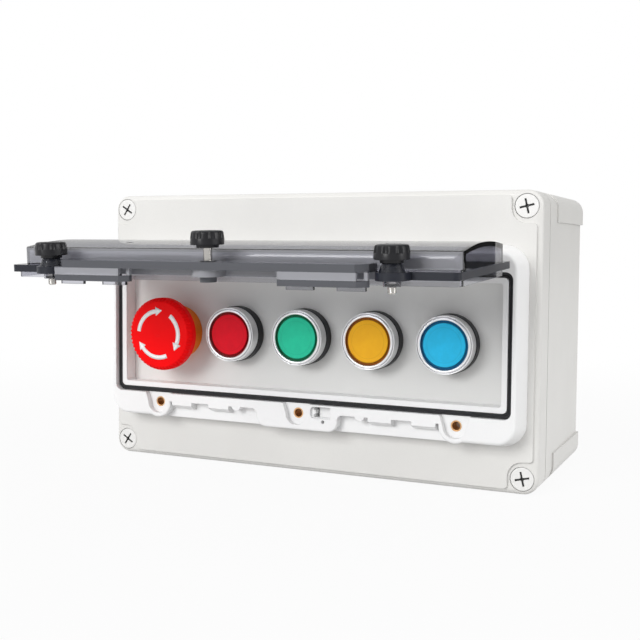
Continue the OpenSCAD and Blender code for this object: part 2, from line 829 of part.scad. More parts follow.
module window_frame() {
    color(white) upright() {
        difference() {
            frame_body();
            translate([0, window_rise, 0]) {
                rounded_plate(window_w, window_h, window_r, field_z - cut, frame_t + 2 * cut);
                rounded_plate(plate_w + 2 * seat, plate_h + 2 * seat, plate_r + seat, field_z - cut,
                    panel_t + cut + seat);
                rounded_plate(groove_out_w, groove_out_h, seal_corner_r, lip_z, rim_step + cut);
                difference() {
                    rounded_plate(groove_out_w, groove_out_h, seal_corner_r, groove_z, groove_d + cut);
                    rounded_plate(groove_in_w, groove_in_h, lip_r, groove_z - cut, groove_d + 3 * cut);
                }
            }
            for (x = latch_xs) translate([x, latch_y, pocket_z]) linear_extrude(pocket_d + cut) pocket();
            for (x = latch_xs) translate([x, latch_y, pocket_z - insert_l - seat])
                cylinder(d = insert_d + 2 * seat, h = insert_l + cut);
            sealing_recess();
            at_frame_screws() translate([0, 0, field_z - cut]) cylinder(d = frame_screw_d + 2 * seat,
                h = cut + frame_screw_bite + gap);
        }
        for (s = [-1, 1]) for (x = [lug_in_x, lug_out_x]) lug(s * x);
        for (x = ear_xs) hinge_ear(x);
    }
}

module latch_inserts() {
    color(brass) upright() for (x = latch_xs) translate([x, latch_y, 0])
        tube(insert_d / 2, insert_bore / 2, pocket_z - insert_l, insert_l);
}

// Seal of the window: a strip with two lips that run along it
module window_seal() {
    half = groove_w / 2 - 0.1;
    bead = 0.5;
    crown = groove_d - 0.1;
    r = (lip_r + seal_corner_r) / 2;
    color(black) upright() translate([0, window_rise, 0])
        run_round(groove_in_w + groove_w, groove_in_h + groove_w, r) translate([r, groove_z]) {
            translate([-half, 0]) square([2 * half, crown - bead]);
            for (s = [-1, 1]) translate([s * (half - bead), crown - bead]) circle(bead);
        }
}

module hinge_pins() {
    pin_l = knuckle_w + 2 * ear_w + 2 * gap;
    color(steel) upright() for (s = [-1, 1])
        translate([s * hinge_x - pin_l / 2, hinge_y, hinge_z]) rotate([0, 90, 0])
            cylinder(d = hinge_pin_d, h = pin_l);
}

// Section through the dome; x is the distance from the pin, y the height above the flange
module dome_section(t) {
    back = dome_back + t;
    front = dome_front_s - t;
    back_r = dome_back_r - t;
    front_r = dome_front_r - t;
    low = flange_t + cut;
    arch_y = dome_h - dome_arch_r;
    front_h = arch_height(front - front_r) - t;
    back_h = arch_height(back + back_r) - t;
    intersection() {
        translate([dome_mid_s, arch_y]) circle(dome_arch_r - t, $fn = 360);
        translate([back + 0.8 * back_r, -low])
            square([front - back - 0.8 * (front_r + back_r), low + dome_h + cut]);
    }
    translate([front - front_r - 0.01, -low]) square([front_r + 0.01, low + front_h - front_r]);
    translate([front - front_r, front_h - front_r]) circle(front_r);
    translate([back, -low]) square([back_r + 0.01, low + back_h - back_r]);
    translate([back + back_r, back_h - back_r]) circle(back_r);
}

// Height of the crown above the flange at a distance from the pin
function arch_height(s) = dome_h - dome_arch_r + sqrt(pow(dome_arch_r, 2) - pow(s - dome_mid_s, 2));

// Body of the dome, drawn in by t on every side
module dome_body(t) {
    w = dome_w - 2 * t;
    l = dome_front_s - dome_back - 2 * t;
    intersection() {
        translate([-w / 2, 0, flange_out]) rotate([90, 0, 90]) linear_extrude(w)
            mirror([1, 0, 0]) dome_section(t);
        translate([0, -dome_mid_s, flange_in - cut]) linear_extrude(2 * dome_h + 2 * cut)
            rounded_rect(w, l, dome_corner_r - t);
    }
}

// Flange of the cover with the tongues that carry the thumbscrew bosses
module flange_outline() {
    mid = (flange_back + cover_l) / 2;
    half = cover_w / 2;
    translate([0, -mid]) rounded_rect(cover_w, cover_l - flange_back, flange_r);
    translate([-half, -flange_back - 2 * flange_r]) square([cover_w, 2 * flange_r]);
    for (x = latch_xs) {
        translate([x, -latch_s]) circle(boss_r + 1.4);
        translate([x - boss_r - 1.4, -latch_s]) square([2 * boss_r + 2.8, latch_s - cover_l + 1]);
    }
}

// Shelf over the latch edge, with chamfered front corners
module shelf_outline() {
    c = shelf_chamfer;
    polygon([[-shelf_w, -shelf_back_s], [-shelf_w, c - shelf_s], [c - shelf_w, -shelf_s],
        [shelf_w - c, -shelf_s], [shelf_w, c - shelf_s], [shelf_w, -shelf_back_s]]);
}

// One of the two rails that hook under the lugs, with its web and tabs
module rail(side) {
    inner = lug_in_x - lug_w / 2 - 2.5;
    w = shelf_w - inner;
    depth = shelf_s - rail_back_s;
    web_t = 1.6;
    translate([side > 0 ? inner : -shelf_w, -shelf_s, 0]) {
        translate([0, 0, rail_bottom]) linear_extrude(rail_t)
            polygon([[0, 0], [w - 4, 0], [w, 3], [w, depth], [0, depth]]);
        translate([0, 0, rail_top - 0.5]) cube([w - 4, web_t, rail_gap + 1]);
        for (x = [0, w - web_t]) translate([x, x > 0 ? 3 : 0, rail_top - 0.5])
            cube([web_t, depth - (x > 0 ? 3 : 0), rail_gap + 1]);
    }
    for (x = [lug_in_x, lug_out_x])
        translate([side * x - lug_w / 2, -rail_back_s - 1.8, rail_bottom - tab_h])
            cube([lug_w, 1.8, tab_h + 0.5]);
}

// Boss of a thumbscrew: a cone above the flange and a short tube below it
module boss() {
    translate([0, 0, flange_out - 1]) cylinder(r1 = boss_r + 0.4, r2 = boss_r, h = 1);
    translate([0, 0, flange_out]) cylinder(r1 = boss_r, r2 = boss_top_r, h = boss_cone_h);
    translate([0, 0, boss_bottom]) cylinder(r1 = boss_low_r - boss_taper, r2 = boss_low_r, h = boss_drop);
}

// Knuckle of the cover around a hinge pin
module knuckle(x) {
    root = 4.5;
    translate([x - knuckle_w / 2, 0, 0]) rotate([90, 0, 90]) linear_extrude(knuckle_w) {
        circle(knuckle_r);
        polygon([[0, knuckle_r], [-root, flange_out + 0.5], [-root, flange_in], [-flange_back, flange_in]]);
    }
}

module window_cover() {
    color(smoke) on_cover() difference() {
        union() {
            translate([0, 0, flange_in]) linear_extrude(flange_t) flange_outline();
            difference() {
                dome_body(0);
                translate([0, -dome_mid_s, flange_in - 2 * cut])
                    cube([dome_w + cut, 2 * cover_l, 4 * cut], center = true);
            }
            translate([0, -skirt_mid_s, skirt_tip]) linear_extrude(skirt_h + 0.5) difference() {
                rounded_rect(skirt_w, skirt_len, skirt_r + skirt_t);
                rounded_rect(skirt_w - 2 * skirt_t, skirt_len - 2 * skirt_t, skirt_r);
            }
            translate([0, 0, flange_out]) linear_extrude(shelf_t) shelf_outline();
            rail(1);
            rail(-1);
            for (x = latch_xs) translate([x, -latch_s, 0]) boss();
            for (s = [-1, 1]) knuckle(s * hinge_x);
        }
        dome_body(dome_t);
        for (x = latch_xs) translate([x, -latch_s, 0]) {
            translate([0, 0, boss_bottom - cut])
                cylinder(r = stem_d / 2 + fit, h = boss_drop + boss_cone_h + 2 * cut);
            translate([0, 0, boss_bottom - cut])
                cylinder(r = ring_r + 0.2, h = ring_well_z - boss_bottom + cut);
        }
        for (x = ear_xs) translate([x, -2, flange_in])
            cube([ear_w + 2 * gap, 5.2, 3 * flange_t + 6], center = true);
        for (s = [-1, 1]) translate([s * hinge_x - knuckle_w / 2 - cut, 0, 0]) rotate([0, 90, 0])
            cylinder(r = hinge_pin_d / 2 + fit, h = knuckle_w + 2 * cut);
    }
}

module knob(x, pulled) {
    low = boss_top;
    top = low + knob_collar_h + knob_h;
    r = knob_d / 2;
    flute_r = 1.6;
    color(black) at_thumbscrew(x, pulled) difference() {
        rotate_extrude() difference() {
            union() {
                translate([0, low]) square([knob_collar_d / 2, knob_collar_h + 1]);
                polygon([[0, low + knob_collar_h], [r, low + knob_collar_h], [r - 0.4, top - 1.2],
                    [r - 1.6, top], [0, top]]);
                translate([r - 1.6, top - 1.2]) circle(1.2);
            }
            translate([-1, low - cut]) square([stem_d / 2 + seat + 1, cut + thumb_grip]);
        }
        for (i = [0 : knob_flutes - 1]) rotate([0, 0, 360 * i / knob_flutes])
            translate([r + flute_r - 0.9, 0, top - 0.55 * knob_h]) cylinder(r = flute_r, h = knob_h);
    }
}

module thumb_stem(x, pulled) {
    low = ring_seated_z - fit;
    high = ring_seated_z + ring_t + fit;
    top = boss_top + thumb_grip;
    color(steel) at_thumbscrew(x, pulled) rotate_extrude() polygon([[0, tip_z], [tip_d / 2 - 0.5, tip_z],
        [tip_d / 2, tip_z + 0.5], [tip_d / 2, low], [groove_r, low], [groove_r, high],
        [stem_d / 2, high], [stem_d / 2, top], [0, top]]);
}

module retaining_ring(x, pulled) {
    color(black) at_thumbscrew(x, pulled) tube(ring_r, groove_r + fit, ring_seated_z, ring_t);
}

// Mushroom head, seen from the side as half a section
module mushroom_section() {
    r = mushroom_r;
    edge = mushroom_edge_r;
    shoulder = mushroom_shoulder;
    crown_r = 130;
    polygon([[0, mushroom_back - hub_t], [hub_r, mushroom_back - hub_t], [hub_r + 2, mushroom_back],
        [r - 1.4, mushroom_back], [r, mushroom_back + 1.4], [r, shoulder - edge], [0, shoulder - edge]]);
    translate([r - edge, shoulder - edge]) circle(edge);
    intersection() {
        translate([0, shoulder - edge - cut]) square([r - edge + 0.3, 2 * edge + cut]);
        translate([0, mushroom_front - crown_r]) circle(crown_r, $fn = 360);
    }
}

// Mushroom head with scallops that run over its rounded shoulder
module stop_head() {
    scallop_r = 0.9;
    scallop_d = 0.55;
    tilt = 35;
    color([0.85, 0.08, 0.1]) at_control(stop_x) difference() {
        rotate_extrude($fn = 72) difference() {
            mushroom_section();
            translate([-1, mushroom_back - hub_t - cut]) square([spigot_r + fit + 1, spigot_l + gap + cut]);
        }
        for (i = [0 : mushroom_scallops - 1]) rotate([0, 0, 360 * i / mushroom_scallops])
            translate([mushroom_r - mushroom_edge_r, 0, mushroom_shoulder - mushroom_edge_r])
                rotate([0, -tilt, 0]) translate([mushroom_edge_r + scallop_r - scallop_d, 0, 0])
                    cylinder(r = scallop_r, h = 5, center = true, $fn = 16);
    }
}

module stop_plunger() {
    top = mushroom_back - hub_t;
    color(black) at_control(stop_x) rotate_extrude() polygon([[0, plunger_end_z],
        [stop_stem_r, plunger_end_z], [stop_stem_r, shoulder_z], [stop_shaft_d / 2, shoulder_z],
        [stop_shaft_d / 2, top], [spigot_r, top], [spigot_r, top + spigot_l], [0, top + spigot_l]]);
}

module stop_collar() {
    r = collar_d / 2;
    soft = 1;
    color([0.95, 0.62, 0.1]) at_control(stop_x) rotate_extrude() difference() {
        union() {
            translate([0, panel_z]) square([r, collar_h - soft]);
            translate([0, panel_z]) square([r - soft, collar_h]);
            translate([r - soft, collar_z - soft]) circle(soft);
        }
        translate([-1, panel_z - cut]) square([barrel_r + seat + 1, collar_h + 2 * cut]);
        translate([-1, collar_z - stop_flange_t]) square([stop_flange_r + seat + 1, stop_flange_t + cut]);
    }
}

module stop_barrel() {
    color(black) at_control(stop_x) rotate_extrude() difference() {
        union() {
            translate([0, barrel_z]) square([barrel_r, collar_z - barrel_z]);
            translate([0, collar_z - stop_flange_t]) square([stop_flange_r, stop_flange_t]);
        }
        translate([-1, ledge_z]) square([stop_shaft_d / 2 + fit + 1, 2 * barrel_l + cut]);
        translate([-1, barrel_z - cut]) square([stop_stem_r + fit + 1, 2 * barrel_l]);
    }
}

module stop_spring() {
    color(steel) at_control(stop_x)
        coil((stop_stem_r + stop_shaft_d / 2) / 2, ledge_z + seat, shoulder_z - seat);
}

// Contact block with terminal steps and a well for the plunger
module contact_block(x, tint) {
    step = 7;
    color(tint) at_control(x) difference() {
        translate([0, 0, barrel_z - contact_l]) {
            translate([0, 0, contact_l / 2])
                cube([contact_w, contact_h - 2 * step, contact_l], center = true);
            translate([0, 0, (contact_l - step) / 2])
                cube([contact_w, contact_h, contact_l - step], center = true);
        }
        translate([0, 0, well_z]) cylinder(r = well_r, h = barrel_z - well_z + cut);
        for (a = [-1, 1]) for (b = [-1, 1])
            translate([a * contact_w / 4, b * (contact_h - step) / 2, barrel_z - step - 3])
                cylinder(r = 2.4, h = 3 + cut);
        for (b = [-1, 1]) translate([0, b * (contact_h - step) / 2, barrel_z - contact_l + 6])
            cube([contact_w + cut, step + cut, 2], center = true);
    }
}

module locknuts() {
    color(black) upright() for (x = concat([stop_x], button_xs))
        translate([x, control_y(x), field_z - nut_t]) difference() {
            cylinder(r = nut_r, h = nut_t, $fn = 6);
            translate([0, 0, -cut]) cylinder(r = barrel_r + seat, h = nut_t + 2 * cut);
        }
}

// Chrome bezel: a sleeve inside its black ring, a tapered side and two rounded rims in front
module bezel(x) {
    r = bezel_d / 2;
    rim_out = r - 1;
    rim_r = (rim_out - bezel_bore_r) / 2;
    side_r = 0.3;
    side_out = r - 0.15;
    side_in = side_out - 2 * side_r;
    side_z = bezel_front - 0.8;
    color(steel) at_control(x) rotate_extrude($fn = 72) {
        polygon([[barrel_r + seat, bezel_z], [sleeve_r, bezel_z], [sleeve_r, ring_top], [r, ring_top],
            [side_out, side_z], [side_in, side_z], [side_in, side_z - 0.6], [rim_out, side_z - 0.6],
            [rim_out, bezel_front - rim_r], [bezel_bore_r, bezel_front - rim_r],
            [bezel_bore_r, barrel_lip_z], [barrel_r + seat, barrel_lip_z]]);
        translate([bezel_bore_r + rim_r, bezel_front - rim_r]) circle(rim_r);
        translate([side_in + side_r, side_z]) circle(side_r);
    }
}

// Black ring between the plate and the bezel, stepped around the bezel's sleeve
module seal_ring(x) {
    r = bezel_d / 2 + ring_reach;
    color(black) at_control(x) rotate_extrude() polygon([[barrel_r + seat, panel_z], [r - 0.6, panel_z],
        [r, panel_z + 0.6], [r, ring_top - 0.3], [r - 0.3, ring_top], [sleeve_r + gap, ring_top],
        [sleeve_r + gap, bezel_z], [barrel_r + seat, bezel_z]]);
}

// Lens: a flange that fills the bezel's bore, with a raised face
module lens(x, tint) {
    r = lens_d / 2;
    face = r - 1.2;
    color(tint) at_control(x) rotate_extrude($fn = 72) polygon([[0, lens_back], [r, lens_back],
        [r, lens_front - lens_step], [face, lens_front - lens_step], [face, lens_front - 0.3],
        [face - 0.3, lens_front], [0, lens_front]]);
}

module button_plunger(x) {
    color(black) at_control(x) rotate_extrude() polygon([[0, plunger_end_z], [stem_r, plunger_end_z],
        [stem_r, shoulder_z], [plunger_r, shoulder_z], [plunger_r, lens_back], [0, lens_back]]);
}

module button_barrel(x) {
    color(black) at_control(x) rotate_extrude() difference() {
        union() {
            translate([0, barrel_z]) square([barrel_r, barrel_lip_z - barrel_z + barrel_lip_t]);
            translate([0, barrel_lip_z]) square([bezel_bore_r - 0.2, barrel_lip_t]);
        }
        translate([-1, ledge_z]) square([plunger_r + fit + 1, 2 * barrel_l]);
        translate([-1, barrel_z - cut]) square([stem_r + fit + 1, 2 * barrel_l]);
    }
}

module button_spring(x) {
    color(steel) at_control(x) coil((stem_r + plunger_r) / 2, ledge_z + seat, shoulder_z - seat);
}

base_box();
base_inserts();
lid_seal();
lid();
lid_screws();
button_panel();
window_frame();
frame_screws();
latch_inserts();
window_seal();
hinge_pins();
window_cover();
knob(-latch_x, 0);  // left_knob
thumb_stem(-latch_x, 0);  // left_screw
retaining_ring(-latch_x, 0);  // left_retaining_ring
knob(0, thumb_pull);  // middle_knob
thumb_stem(0, thumb_pull);  // middle_screw
retaining_ring(0, thumb_pull);  // middle_retaining_ring
knob(latch_x, 0);  // right_knob
thumb_stem(latch_x, 0);  // right_screw
retaining_ring(latch_x, 0);  // right_retaining_ring
stop_head();
stop_plunger();
stop_collar();
stop_barrel();
stop_spring();
contact_block(stop_x, [0.75, 0.12, 0.12]);  // stop_contact_block
locknuts();
bezel(button_xs[0]);  // red_bezel
seal_ring(button_xs[0]);  // red_ring
lens(button_xs[0], [0.8, 0.1, 0.16]);  // red_lens
button_plunger(button_xs[0]);  // red_plunger
button_barrel(button_xs[0]);  // red_barrel
button_spring(button_xs[0]);  // red_spring
contact_block(button_xs[0], [0.2, 0.2, 0.22]);  // red_contact_block
bezel(button_xs[1]);  // green_bezel
seal_ring(button_xs[1]);  // green_ring
lens(button_xs[1], [0.12, 0.65, 0.5]);  // green_lens
button_plunger(button_xs[1]);  // green_plunger
button_barrel(button_xs[1]);  // green_barrel
button_spring(button_xs[1]);  // green_spring
contact_block(button_xs[1], [0.2, 0.2, 0.22]);  // green_contact_block
bezel(button_xs[2]);  // yellow_bezel
seal_ring(button_xs[2]);  // yellow_ring
lens(button_xs[2], [0.95, 0.66, 0.12]);  // yellow_lens
button_plunger(button_xs[2]);  // yellow_plunger
button_barrel(button_xs[2]);  // yellow_barrel
button_spring(button_xs[2]);  // yellow_spring
contact_block(button_xs[2], [0.2, 0.2, 0.22]);  // yellow_contact_block
bezel(button_xs[3]);  // blue_bezel
seal_ring(button_xs[3]);  // blue_ring
lens(button_xs[3], [0.15, 0.65, 0.88]);  // blue_lens
button_plunger(button_xs[3]);  // blue_plunger
button_barrel(button_xs[3]);  // blue_barrel
button_spring(button_xs[3]);  // blue_spring
contact_block(button_xs[3], [0.2, 0.2, 0.22]);  // blue_contact_block
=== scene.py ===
"""Dresses the emergency stop box: finishes for every piece, the pieces that are modelled here,
the studio and the camera. Everything is in metres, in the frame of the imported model."""
import json
import math

import bpy
from bpy.props import FloatProperty, FloatVectorProperty, IntProperty, PointerProperty
from mathutils import Matrix, Vector


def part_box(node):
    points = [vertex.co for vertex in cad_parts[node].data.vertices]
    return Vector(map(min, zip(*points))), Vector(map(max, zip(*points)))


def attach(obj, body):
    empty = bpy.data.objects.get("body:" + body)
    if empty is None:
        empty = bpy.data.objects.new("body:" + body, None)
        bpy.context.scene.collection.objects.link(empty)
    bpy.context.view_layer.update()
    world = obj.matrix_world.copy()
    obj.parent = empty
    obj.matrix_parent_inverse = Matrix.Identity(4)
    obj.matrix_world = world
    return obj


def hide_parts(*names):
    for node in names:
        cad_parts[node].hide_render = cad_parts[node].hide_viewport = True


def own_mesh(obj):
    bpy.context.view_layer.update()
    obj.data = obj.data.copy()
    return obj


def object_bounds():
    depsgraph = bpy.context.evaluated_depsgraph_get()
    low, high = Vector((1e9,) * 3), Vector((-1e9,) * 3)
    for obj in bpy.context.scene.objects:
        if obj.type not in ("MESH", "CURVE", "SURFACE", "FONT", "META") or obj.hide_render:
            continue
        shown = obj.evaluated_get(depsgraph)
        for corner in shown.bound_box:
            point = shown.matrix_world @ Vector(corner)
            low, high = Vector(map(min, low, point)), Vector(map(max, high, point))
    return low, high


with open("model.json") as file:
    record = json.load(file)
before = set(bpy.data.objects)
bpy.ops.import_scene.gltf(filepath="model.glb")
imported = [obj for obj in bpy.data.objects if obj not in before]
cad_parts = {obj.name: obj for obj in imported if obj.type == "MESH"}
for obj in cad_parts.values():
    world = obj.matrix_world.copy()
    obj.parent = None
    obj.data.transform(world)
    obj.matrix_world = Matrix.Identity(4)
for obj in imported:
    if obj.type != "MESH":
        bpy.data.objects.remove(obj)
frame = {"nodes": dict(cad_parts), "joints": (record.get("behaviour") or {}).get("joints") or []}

bl_info = {
    "name": "Emergency stop box",
    "version": (1, 0, 0),
    "blender": (4, 5, 0),
    "location": "3D View > Sidebar > Stop box",
    "description": "Finishes, details and studio for an emergency stop box",
    "category": "Object",
}

MM = 0.001
CAD_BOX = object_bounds()
COLOURS = ("red", "green", "yellow", "blue")
SIDES = ("left", "middle", "right")
WHITE = (1.0, 1.0, 1.0)
INTO_WALL = Vector((0, 1, 0))
OUT_OF_WALL = Vector((0, -1, 0))

# Half the width over which most masks change
SOFT = 0.1 * MM
# The ramp that makes a sum of such masks firm
FIRM = (0.2, 0.8)

# Where the changes over a lens start and end, as shares of its radius. The rim is painted shade
# and the lip a painted highlight
LENS_SHADED_RIM = (0.89, 0.905)
LENS_LIT_LIP = ((0.91, 0.92), (0.955, 0.965))
LENS_LINE = ((0.70, 0.72), (0.725, 0.745))

# Angles in degrees up to which edges are shaded smooth
SMOOTH_THREAD = 60
SMOOTH_RIM = 40


def middle_of(node):
    """The middle of a CAD node's box."""
    return sum(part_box(node), Vector()) / 2


def size_of(node):
    """The size of a CAD node's box."""
    low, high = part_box(node)
    return high - low


def around(level):
    """The start and end of a soft change at a level."""
    return level - SOFT, level + SOFT


# Finishes

def operator(operation, reflected=False):
    """A method that adds a Math node."""
    def method(self, *others):
        values = (self,) + others
        return self.finish.maths(operation, *(reversed(values) if reflected else values))
    return method


class Value:
    """A socket that carries a number. Python's operators on it add Math nodes."""

    def __init__(self, finish, socket):
        self.finish = finish
        self.socket = socket

    __add__, __radd__ = operator("ADD"), operator("ADD", True)
    __sub__, __rsub__ = operator("SUBTRACT"), operator("SUBTRACT", True)
    __mul__, __rmul__ = operator("MULTIPLY"), operator("MULTIPLY", True)
    __truediv__ = operator("DIVIDE")
    __pow__ = operator("POWER")
    __abs__ = operator("ABSOLUTE")
    at_least = operator("MAXIMUM")

    def ramp(self, start, end):
        """0 below start, 1 above end and a smooth rise between them."""
        return self.finish.number("MapRange", {0: self, 1: start, 2: end},
                                  interpolation_type="SMOOTHSTEP")

    def within(self, rise, fall):
        """1 between a rise and a later fall, each given by its start and end."""
        return self.ramp(*rise) - self.ramp(*fall)


class Finish:
    """A material, or a world, that is built up from nodes."""

    def __init__(self, name, world=None):
        self.owner = world or bpy.data.materials.new(name)
        self.owner.use_nodes = True
        self.tree = self.owner.node_tree
        self.tree.nodes.clear()

    def node(self, kind, sockets=None, **settings):
        """Adds a node: its settings first, then the values or links of its sockets."""
        node = self.tree.nodes.new("ShaderNode" + kind)
        for name, setting in settings.items():
            setattr(node, name, setting)
        for key, value in (sockets or {}).items():
            socket = node.inputs[key]
            value = getattr(value, "socket", value)
            if isinstance(value, bpy.types.NodeSocket):
                self.tree.links.new(value, socket)
            elif socket.type == "RGBA":
                socket.default_value = (*value[:3], 1.0)
            else:
                socket.default_value = value
        return node

    def number(self, kind, sockets=None, output=0, **settings):
        """The number that a new node puts out."""
        return Value(self, self.node(kind, sockets, **settings).outputs[output])

    def maths(self, operation, *values):
        return self.number("Math", dict(enumerate(values)), operation=operation)

    def place(self, centre=(0, 0, 0), turn=(0, 0, 0), scale=(1, 1, 1)):
        """Object coordinates from a centre, turned and scaled."""
        point = self.node("TexCoord").outputs["Object"]
        moved = self.node("VectorMath", {0: point, 1: centre}, operation="SUBTRACT")
        sockets = {"Vector": moved.outputs[0], "Rotation": turn, "Scale": scale}
        return self.node("Mapping", sockets).outputs[0]

    def along(self, vector, direction):
        """How far a vector reaches in a direction."""
        return self.number("VectorMath", {0: vector, 1: direction}, "Value",
                           operation="DOT_PRODUCT")

    def parts(self, vector):
        """The three parts of a vector: X, Y and Z."""
        node = self.node("SeparateXYZ", {0: vector})
        return [Value(self, node.outputs[k]) for k in range(3)]

    def from_axis(self, point):
        """The distance of a point from the Y axis."""
        x, _, z = self.parts(point)
        return (x ** 2 + z ** 2) ** 0.5

    def noise(self, vector, size, detail=2.0, rough=0.5):
        """Noise whose patches are about size metres wide."""
        sockets = {"Vector": vector, "Scale": 1.0 / size, "Detail": detail, "Roughness": rough}
        return self.number("TexNoise", sockets)

    def rings(self, radius, size):
        """Noise that changes with the radius alone."""
        sockets = {"W": radius, "Scale": 1.0 / size, "Detail": 2.0}
        return self.number("TexNoise", sockets, noise_dimensions="1D")

    def mix(self, mask, first, second):
        """The first colour where the mask is 0 and the second where it is 1."""
        sockets = {0: mask, 6: first, 7: second}
        return self.node("Mix", sockets, data_type="RGBA").outputs[2]

    def bump(self, height, depth, strength, normal=None):
        """The normals of a height map that is laid over other normals."""
        sockets = {"Strength": strength, "Distance": depth, "Height": height}
        if normal is not None:
            sockets["Normal"] = normal
        return self.node("Bump", sockets).outputs[0]

    def rounded(self, radius):
        """Normals that round the edges over a radius."""
        return self.node("Bevel", {"Radius": radius}, samples=4).outputs[0]

    def edges(self, rounded):
        """A mask of the edges, where rounded normals turn away from the true ones."""
        true = self.node("NewGeometry").outputs["True Normal"]
        return (1 - self.along(rounded, true)).ramp(0.02, 0.25)

    def principled(self, base, rough, **sockets):
        """A Principled shader. A _ stands for each space in the name of a socket."""
        named = {key.replace("_", " "): value for key, value in sockets.items()}
        named.update({"Base Color": base, "Roughness": rough})
        return self.node("BsdfPrincipled", named).outputs[0]

    def surface(self, *values, **sockets):
        """Ends the material in a Principled shader."""
        return self.end(self.principled(*values, **sockets))

    def blend(self, share, first, second):
        """The first shader where the share is 0 and the second where it is 1."""
        return self.node("MixShader", {0: share, 1: first, 2: second}).outputs[0]

    def end(self, surface, **sockets):
        """Ends the material or the world in its output node."""
        kind = "World" if isinstance(self.owner, bpy.types.World) else "Material"
        self.node("Output" + kind, {"Surface": surface, **sockets})
        return self.owner


def shade(colour, factor):
    return tuple(min(1.0, channel * factor) for channel in colour)


def moulded_plastic(name, colour, roughness, grain=0.7 * MM, grain_depth=0.02 * MM,
                    edge=0.45 * MM, shadow=None, specular=0.45):
    """Moulded plastic with fine spark grain, slow changes of tone and edges made lighter, as
    rubbed wear and a painted highlight. What lies further back than the level named shadow is
    painted almost black, as painted shade inside slots."""
    finish = Finish(name)
    point = finish.place()
    tone = finish.noise(point, size=60 * MM, detail=3.0)
    speckle = finish.noise(point, size=grain, detail=3.0, rough=0.6)
    handling = finish.noise(point, size=14 * MM, detail=4.0, rough=0.6)
    rounded = finish.rounded(edge)
    edges = finish.edges(rounded)
    base = finish.mix(tone.ramp(0.3, 0.7), shade(colour, 0.975), shade(colour, 1.02))
    base = finish.mix(speckle.ramp(0.35, 0.75) * 0.25, base, shade(colour, 0.94))
    # Rubbed wear and painted highlight: the edges are made lighter.
    base = finish.mix(edges * 0.35, base, shade(colour, 1.07))
    # Painted shade: what lies further back than the shadow level is painted almost black, as the
    # shade inside slots.
    if shadow is not None:
        depth = finish.parts(point)[1]
        base = finish.mix(depth.ramp(shadow, shadow + 0.5 * MM), base, shade(colour, 0.05))
    rough = roughness + (speckle - 0.5) * 0.12 + (handling - 0.5) * 0.1 - edges * 0.08
    normal = finish.bump(speckle, grain_depth, strength=0.5, normal=rounded)
    return finish.surface(base, rough, Normal=normal, IOR=1.49, Specular_IOR_Level=specular)


def fine_plastic(name, colour, roughness, **settings):
    """Moulded plastic with the fine grain of small parts."""
    return moulded_plastic(name, colour, roughness, grain=0.5 * MM, grain_depth=0.01 * MM,
                           **settings)


def gloss_plastic(name, colour, roughness, depth=0.012 * MM, specular=0.5):
    """Smooth moulding with a slight orange peel and fine handling scratches."""
    finish = Finish(name)
    point = finish.place()
    strokes = finish.place(turn=(0.2, 0.5, 0.7), scale=(1, 14, 14))
    peel = finish.noise(point, size=2.4 * MM)
    tone = finish.noise(point, size=18 * MM, detail=3.0)
    scratches = finish.noise(strokes, size=9 * MM, detail=4.0)
    rounded = finish.rounded(0.3 * MM)
    base = finish.mix(tone.ramp(0.3, 0.7), shade(colour, 0.93), shade(colour, 1.04))
    # Rubbed wear and painted highlight: the edges are made lighter.
    base = finish.mix(finish.edges(rounded) * 0.3, base, shade(colour, 1.15))
    rough = roughness + scratches.ramp(0.55, 0.75) * 0.12 + (tone - 0.5) * 0.06
    normal = finish.bump(peel, depth, strength=0.4, normal=rounded)
    return finish.surface(base, rough, Normal=normal, IOR=1.5, Specular_IOR_Level=specular)


def soft_rubber(name, colour, half_width=None):
    """Matt rubber. With a half width, streaks follow the run of a seal round its rectangle."""
    finish = Finish(name)
    point = finish.place()
    speckle = finish.noise(point, size=0.6 * MM, detail=3.0, rough=0.6)
    dust = finish.noise(point, size=9 * MM, detail=4.0, rough=0.65)
    height = speckle
    if half_width:
        sideways = abs(finish.parts(point)[0])
        upright = sideways.ramp(*around(half_width))
        across = finish.noise(finish.place(scale=(0.04, 1, 1)), size=0.55 * MM)
        along = finish.noise(finish.place(scale=(1, 1, 0.04)), size=0.55 * MM)
        streaks = across * (1 - upright) + along * upright
        height = streaks * 0.8 + speckle * 0.3
        dust = dust * 0.5 + streaks * 0.5
    base = finish.mix(dust.ramp(0.45, 0.75), colour, shade(colour, 2.2))
    rough = 0.62 + (dust - 0.5) * 0.2
    normal = finish.bump(height, 0.06 * MM, strength=0.6)
    return finish.surface(base, rough, Normal=normal, IOR=1.5)


